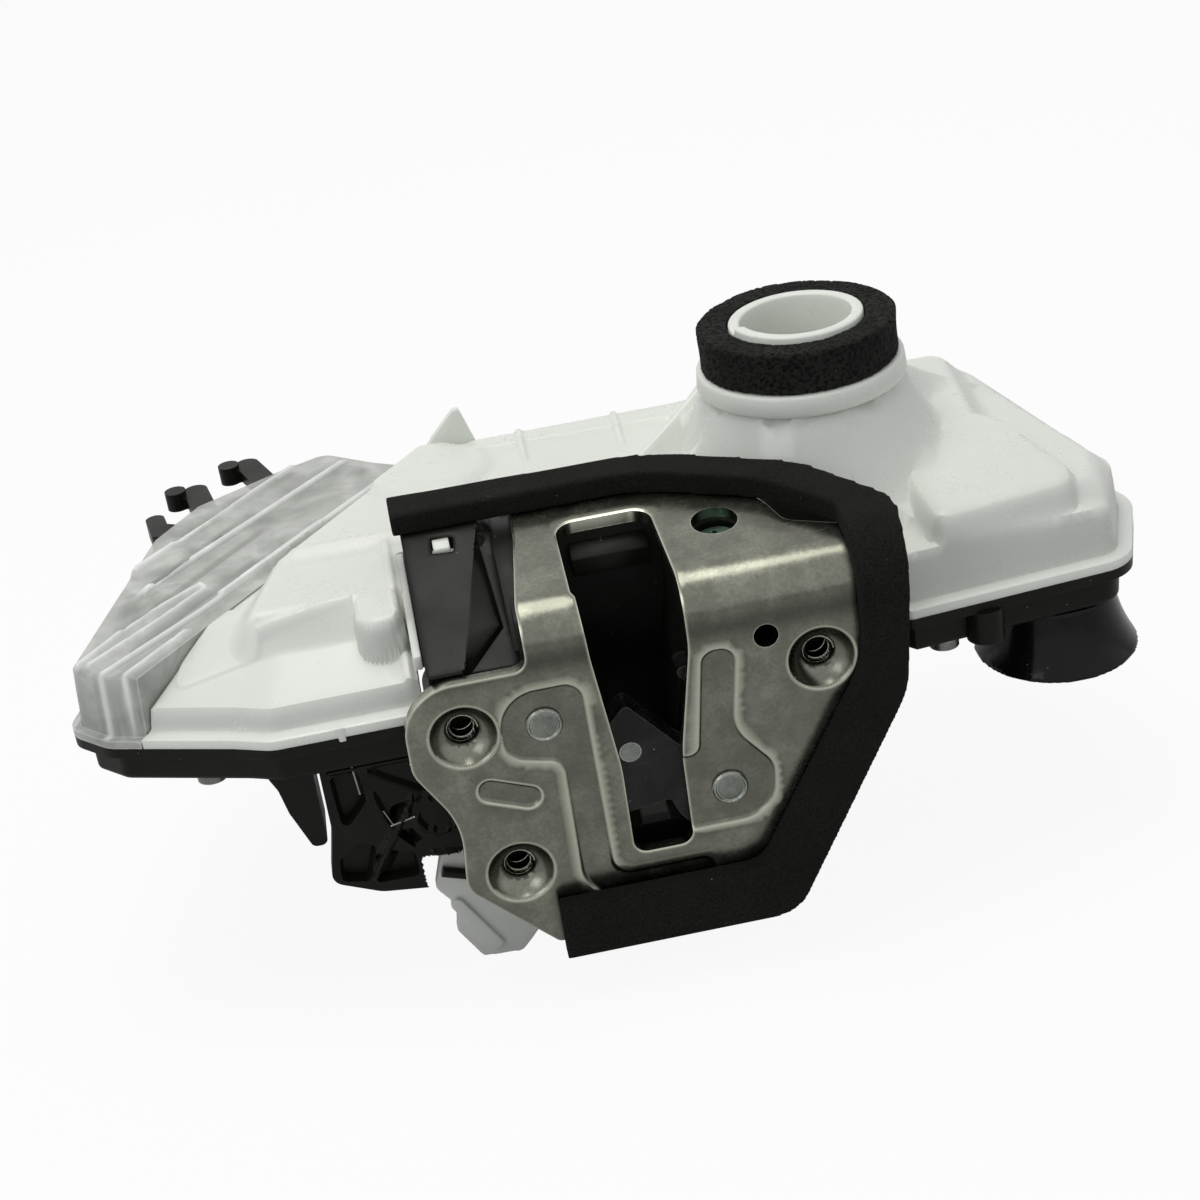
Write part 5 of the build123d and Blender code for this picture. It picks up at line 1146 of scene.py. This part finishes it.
def shoulder_panel():
    """Shoulder panel: matt field with a snap window, pointed facet along the crease, lower glossy field."""
    (y0, z0), (y1, z1), (y2, z2) = PANEL_SLOPE
    slope, deck = math.hypot(y1 - y0, z1 - z0), math.hypot(y2 - y1, z2 - z1)
    outer = rounded(((PANEL_LEFT, 0.0), (PANEL_RIGHT, 0.0), (PANEL_RIGHT, slope + deck),
                     (PANEL_LEFT, slope + deck)),
                    (1.0, 2.0, 0.3, 0.3), 0.8)
    window = rounded(PANEL_WINDOW, (0.5,) * 4, 0.5)
    crease = [Vector((panel_crease(k * 0.8), k * 0.8)) for k in range(int((slope + deck) / 0.8))]
    facet = [Vector((-27.0, 34.0)).lerp(Vector((-25.6, 11.3)), k / 30) for k in range(31)]
    facet += [Vector((-25.6, 11.3)).lerp(Vector((-34.3, 0.8)), k / 20) for k in range(1, 21)]
    loose = [p + Vector((off, 0)) for p in crease for off in (-0.35, 0.0, 0.35)]
    loose += [p + Vector((off, 0)) for p in facet for off in (-0.45, 0.0, 0.45, 0.9, 1.35)]
    loose += [Vector((x, slope + off)) for x in np.arange(-42.0, -23.0, 0.8)
              for off in (-0.8, -0.3, 0.3, 0.8)]
    loose += rows_along(window, (0.3, 0.6)) + rows_along(outer, (-0.3, -0.6))
    at, faces = triangulated([outer, window], loose, 0.9, 0.12)
    inward = at[:, 0] - panel_crease(at[:, 1])
    edge_x = np.where(at[:, 1] > 11.3, -25.6 - 1.4 * (at[:, 1] - 11.3) / 22.7,
                      -34.3 + 8.7 * (at[:, 1] - 0.8) / 10.5)
    share = np.clip(inward / np.maximum(edge_x - panel_crease(at[:, 1]), 0.3), 0, 1)
    low = np.where(at[:, 1] < 34.0, 1.3 * share + 1.1 * eased((at[:, 0] - edge_x + 0.2) / 1.3),
                   2.2 * eased(inward / 0.8))
    low = np.where(inward > 0, low, 0.0) + 0.25 * eased(1 - np.abs(distance(at, outer)) / 0.6)
    low += 0.2 * eased(1 - np.abs(distance(at, window)) / 0.5)
    t = np.clip(at[:, 1] / slope, 0, 1)
    u = np.clip((at[:, 1] - slope) / deck, 0, 1)
    depth, height = y0 + (y1 - y0) * t + (y2 - y1) * u, z0 + (z1 - z0) * t + (z2 - z1) * u
    turn = np.where(at[:, 1] < slope, math.atan2(z1 - z0, y1 - y0), math.atan2(z2 - z1, y2 - y1))

    def layer(drop):
        return np.column_stack([at[:, 0], depth + drop * np.sin(turn), height - drop * np.cos(turn)])

    return finished(closed_shell("snap_shoulder_panel", layer(low), layer(np.full(len(at), PANEL_DEPTH)),
                                 faces), 26.0)


def panel_tongue():
    """White tongue of the cover that shows in the panel's window."""
    return prism("window_tongue", ((33.4, 33.0), (33.4, 35.2), (35.4, 36.2), (37.0, 36.0), (37.0, 33.0)),
                 -36.0, -32.4, axis="X")


def gap_filler():
    """Black web between the panel and the flange of the face plate, below their skins."""
    outline = ((8.0, 19.8), (8.0, 21.2), (20.0, 30.6), (30.0, 34.0), (46.6, 35.3), (46.6, 30.0),
               (20.0, 24.0))
    return prism("shoulder_web", outline, -23.6, -18.7, axis="X")


def channel_end():
    """Bevelled facet at the closed end of the striker channel."""
    return prism("channel_end_facet", ((30.3, 28.1), (33.6, 30.6), (33.6, 24.0), (30.3, 24.0)), -7.4, 9.6,
                 axis="X")


BRACKET = ((-68.9, -2.2), (-68.9, -17.5), (-71.4, -30.5), (-61.0, -35.2), (-44.0, -37.4), (-31.2, -34.0),
           (-29.2, -2.2))
BRACKET_R = (0.3, 6, 3, 8, 8, 5, 0.3)
BRACKET_FACE, BRACKET_BACK = 13.75, 20.0
BAY = ((-51.3, -50.0), (-25.0, -50.0), (-25.0, -28.5), (-51.3, -28.5))
# sunk cells of the bracket, and the ribs and bosses that stand up on its face
BRACKET_CELLS = (
    ((-68.4, -25.2), (-63.6, -21.6), (-60.6, -23.6), (-63.4, -31.6), (-68.8, -30.4)),
    ((-60.4, -25.6), (-56.5, -25.6), (-52.6, -26.8), (-52.4, -32.6), (-62.0, -32.4)),
    ((-66.8, -4.5), (-61.2, -4.5), (-60.6, -11.5), (-66.2, -18.0)),
    ((-55.5, -14.5), (-41.5, -12.0), (-36.0, -18.5), (-38.5, -26.5), (-51.0, -26.5), (-56.0, -20.5)),
)
BRACKET_RIBS = (((-62.0, -31.0), (-51.0, -13.5)), ((-59.2, -24.4), (-52.0, -16.0)),
                ((-61.0, -2.8), (-47.5, -12.0)), ((-47.5, -12.0), (-31.0, -7.0)),
                ((-58.6, -11.0), (-56.4, -19.8)), ((-48.4, -27.6), (-30.6, -31.5)),
                ((-66.8, -2.9), (-36.0, -2.9)))


def lever_bracket():
    """Moulded bracket of the release lever: sunk cells, ribs to its corners, a thin web over the bay."""
    outer = rounded(BRACKET, BRACKET_R, 0.9)
    cells = [rounded(cell, (1.0,) * len(cell), 0.7) for cell in BRACKET_CELLS]
    loose = rows_along(outer, (-0.3, -0.6, -1.4, -1.8))
    for cell in cells:
        loose += rows_along(cell, (-0.4, 0.0, 0.4))
    for first, last in BRACKET_RIBS:
        a, b = Vector(first), Vector(last)
        side = Vector((-(b - a).y, (b - a).x)).normalized()
        count = int((b - a).length / 0.9)
        loose += [a.lerp(b, k / count) + side * off for k in range(count + 1)
                  for off in (-1.1, -0.7, 0.0, 0.7, 1.1)]
    bay = rounded(BAY, (0.5,) * 4, 0.8)
    at, faces = triangulated([outer], loose + rows_along(bay, (-0.2, 0.2)), 1.2, 0.15)
    middle = at[np.array(faces)].mean(axis=1)
    faces = [f for f, kept in zip(faces, ~inside(middle, bay)) if kept]
    depth = 1.1 - 1.0 * eased((1.9 + distance(at, outer)) / 0.7)
    for cell in cells:
        depth = np.maximum(depth, 1.1 + 3.0 * eased(0.5 - distance(at, cell) / 0.6))
    over_bay = at[:, 0] > -52.0
    depth = np.where(over_bay, np.minimum(depth, 1.2), depth)
    for first, last in BRACKET_RIBS:
        off, _ = to_line(at, first, last)
        depth = np.minimum(depth, 1.4 - 1.3 * eased((1.0 - off) / 0.6) + 9.0 * (off > 1.2))
    hub = np.hypot(at[:, 0] + 45.5, at[:, 1] + 17.5)
    depth = np.where((hub < 5.6) & (hub > 4.4), 0.2, depth)
    front = np.column_stack([at[:, 0], BRACKET_FACE + depth, at[:, 1]])
    back = np.column_stack([at[:, 0], np.where(over_bay, BRACKET_FACE + 1.6, BRACKET_BACK), at[:, 1]])
    return finished(closed_shell("ribbed_lever_bracket", front, back, faces), 30.0)


def wires():
    """Bright spring wires that show in the bracket."""
    spans = (((-61.9, 14.3, -0.8), (-61.3, 14.3, -9.2)), ((-57.2, 14.2, -14.4), (-55.8, 14.4, -18.2)),
             ((-49.6, 14.1, -4.4), (-46.6, 14.1, -3.6)), ((-56.2, 14.2, -18.6), (-50.8, 14.2, -17.4)))
    runs = bpy.data.meshes.new("wire_runs")
    runs.from_pydata([tuple(v * MM for v in end) for span in spans for end in span],
                     [(2 * k, 2 * k + 1) for k in range(len(spans))], [])
    return finished(grown_from("spring_wires", WIRE_RUNS, runs, {"Wire": 0.00028}, rivet_steel), 60.0)


def foam_ring():
    """Die-cut ring of open-cell foam: torn cells all over and a slightly uneven outline."""
    low, high = (value * 1000.0 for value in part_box("foam_ring"))
    centre, tall, outer = (low + high) / 2, (high.z - low.z) / 2, (high.x - low.x) / 2 - 0.15
    inner = FOAM_BORE
    wide = (outer - inner) / 2
    outline = rounded([(-wide, -tall), (wide, -tall), (wide, tall), (-wide, tall)], (0.5, 0.5, 0.9, 0.7),
                      0.42)
    count = 300
    shell = bmesh.new()
    rings = []
    for k in range(count):
        a = 2 * math.pi * k / count
        away = Vector((math.cos(a), math.sin(a), 0.0))
        rings.append([shell.verts.new(centre + away * (inner + wide + p.x) + Vector((0.0, 0.0, p.y)))
                      for p in outline])
    close_rings(shell, rings)
    shell.normal_update()
    moves = []
    for vertex in shell.verts:
        cells, _ = noise.voronoi(vertex.co * 1.15)
        pit = max(0.0, 0.55 - cells[0]) * 0.75
        swell = 0.30 * noise.noise(vertex.co * 0.16) - 0.12
        moves.append(vertex.normal * (swell - pit))
    for vertex, move in zip(shell.verts, moves):
        vertex.co = (vertex.co + move) * MM
    return finished(as_mesh("spigot_foam_ring", shell), 80.0)


new_piece("zinc_face_plate", finished(pressed_plate()), "face_plate")
new_piece("thread_ridges", thread_ridges(), "face_plate", replaces=False)
new_piece("threaded_collars", threaded_collars(), "face_plate", replaces=False)
new_piece("white_cover", white_cover(), "front_cover")
new_piece("white_spigot", white_spigot(), "front_cover", replaces=False)
new_piece("back_fin", back_fin(), "front_cover", replaces=False)
new_piece("cover_side_wall", side_wall(), "front_cover", replaces=False)
new_piece("skirt_tab", front_tab(), "front_cover", replaces=False)
new_piece("window_tongue", panel_tongue(), "front_cover", replaces=False)
new_piece("frosted_wing_cover", frosted_wing_cover(), "wing_cover")
new_piece("snap_shoulder_panel", shoulder_panel(), "shoulder_panel")
new_piece("shoulder_web", gap_filler(), "latch_body", replaces=False)
new_piece("channel_end_facet", channel_end(), "latch_body", replaces=False)
new_piece("ribbed_lever_bracket", lever_bracket(), "lever_bracket")
new_piece("spring_wires", wires(), "release_pin", replaces=False)
new_piece("fork_rivet", rivet("fork_rivet", RIVET_POINTS[0]), "fork_pivot")
new_piece("pawl_rivet", rivet("pawl_rivet", RIVET_POINTS[1]), "pawl_pivot")
ring = new_piece("spigot_foam_ring", foam_ring(), "foam_ring")
for piece_name, node_name, voxel, rounds in (
    ("foam_plate_seal", "plate_seal", 0.6, 2),
    ("flared_hood", "connector_hood", 0.6, 2),
    ("pale_release_lever", "release_lever", 0.35, 2),
):
    made = new_piece(piece_name, softened(node_name, voxel, rounds), node_name)
    finished(made.data, 60.0)


# ---------------------------------------------------------------- floor, light and camera
def stage_set():
    low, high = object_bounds()
    bpy.ops.mesh.primitive_plane_add(size=6.0, location=(0.0, 0.0, low.z - 0.0002))
    floor = bpy.context.object
    floor.name = "pale_floor"
    material, tree, shader = surface("floor_paper", (0.86, 0.86, 0.86), 0.9)
    paths = node(tree, "ShaderNodeLightPath")
    glow = node(tree, "ShaderNodeEmission", [("Color", (1.0, 1.0, 1.0, 1.0)), ("Strength", 1.0)])
    share = math_node(tree, "MULTIPLY", paths.outputs["Is Camera Ray"], 0.92)
    mixed = node(tree, "ShaderNodeMixShader", [(0, share), (1, shader.outputs[0]), (2, glow.outputs[0])])
    tree.links.new(mixed.outputs[0], tree.nodes["Material Output"].inputs["Surface"])
    floor.data.materials.append(material)

    world = bpy.data.worlds.new("studio")
    bpy.context.scene.world = world
    world.use_nodes = True
    tree = world.node_tree
    plain = tree.nodes["Background"]
    plain.inputs["Color"].default_value = (0.95, 0.98, 1.0, 1.0)
    plain.inputs["Strength"].default_value = 0.40
    white = node(tree, "ShaderNodeBackground", [("Color", (1.0, 1.0, 1.0, 1.0)), ("Strength", 1.0)])
    paths = node(tree, "ShaderNodeLightPath").outputs
    seen = math_node(tree, "MAXIMUM", math_node(tree, "MAXIMUM", paths["Is Camera Ray"],
                                                paths["Is Glossy Ray"]),
                     paths["Is Transmission Ray"])
    mixed = node(tree, "ShaderNodeMixShader", [(0, seen), (1, plain.outputs[0]), (2, white.outputs[0])])
    tree.links.new(mixed.outputs[0], tree.nodes["World Output"].inputs["Surface"])


def softbox(name, place_at, aim, size, power, colour=(1.0, 1.0, 1.0)):
    lamp = bpy.data.lights.new(name, "AREA")
    lamp.shape = "RECTANGLE"
    lamp.size, lamp.size_y = size
    lamp.energy = power
    lamp.color = colour
    holder = bpy.data.objects.new(name, lamp)
    bpy.context.scene.collection.objects.link(holder)
    holder.location = place_at
    holder.rotation_mode = "QUATERNION"
    holder.rotation_quaternion = (Vector(aim) - Vector(place_at)).to_track_quat("-Z", "Y")


def camera():
    lens = bpy.data.cameras.new("camera")
    lens.lens = 72.0
    lens.sensor_width = 36.0
    lens.clip_start = 0.01
    holder = bpy.data.objects.new("camera", lens)
    bpy.context.scene.collection.objects.link(holder)
    right = Vector((0.9795675, -0.14702208, -0.13722979))
    up = Vector((0.1892528, 0.44297537, 0.8763311))
    back = Vector((-0.06805061, -0.88439659, 0.46174861))
    turn = Matrix((right, up, back)).transposed().to_4x4()
    holder.matrix_world = Matrix.Translation((-0.038038, -0.430075, 0.257835)) @ turn
    bpy.context.scene.camera = holder


stage_set()
softbox("overhead", (-0.05, 0.10, 0.75), (0.0, 0.05, 0.0), (0.5, 0.45), 2.9, (1.0, 0.985, 0.94))
softbox("front_left", (-0.55, -0.45, 0.45), (0.0, 0.0, 0.0), (0.4, 0.4), 0.8)
camera()
scene = bpy.context.scene
scene.view_settings.view_transform = "Standard"
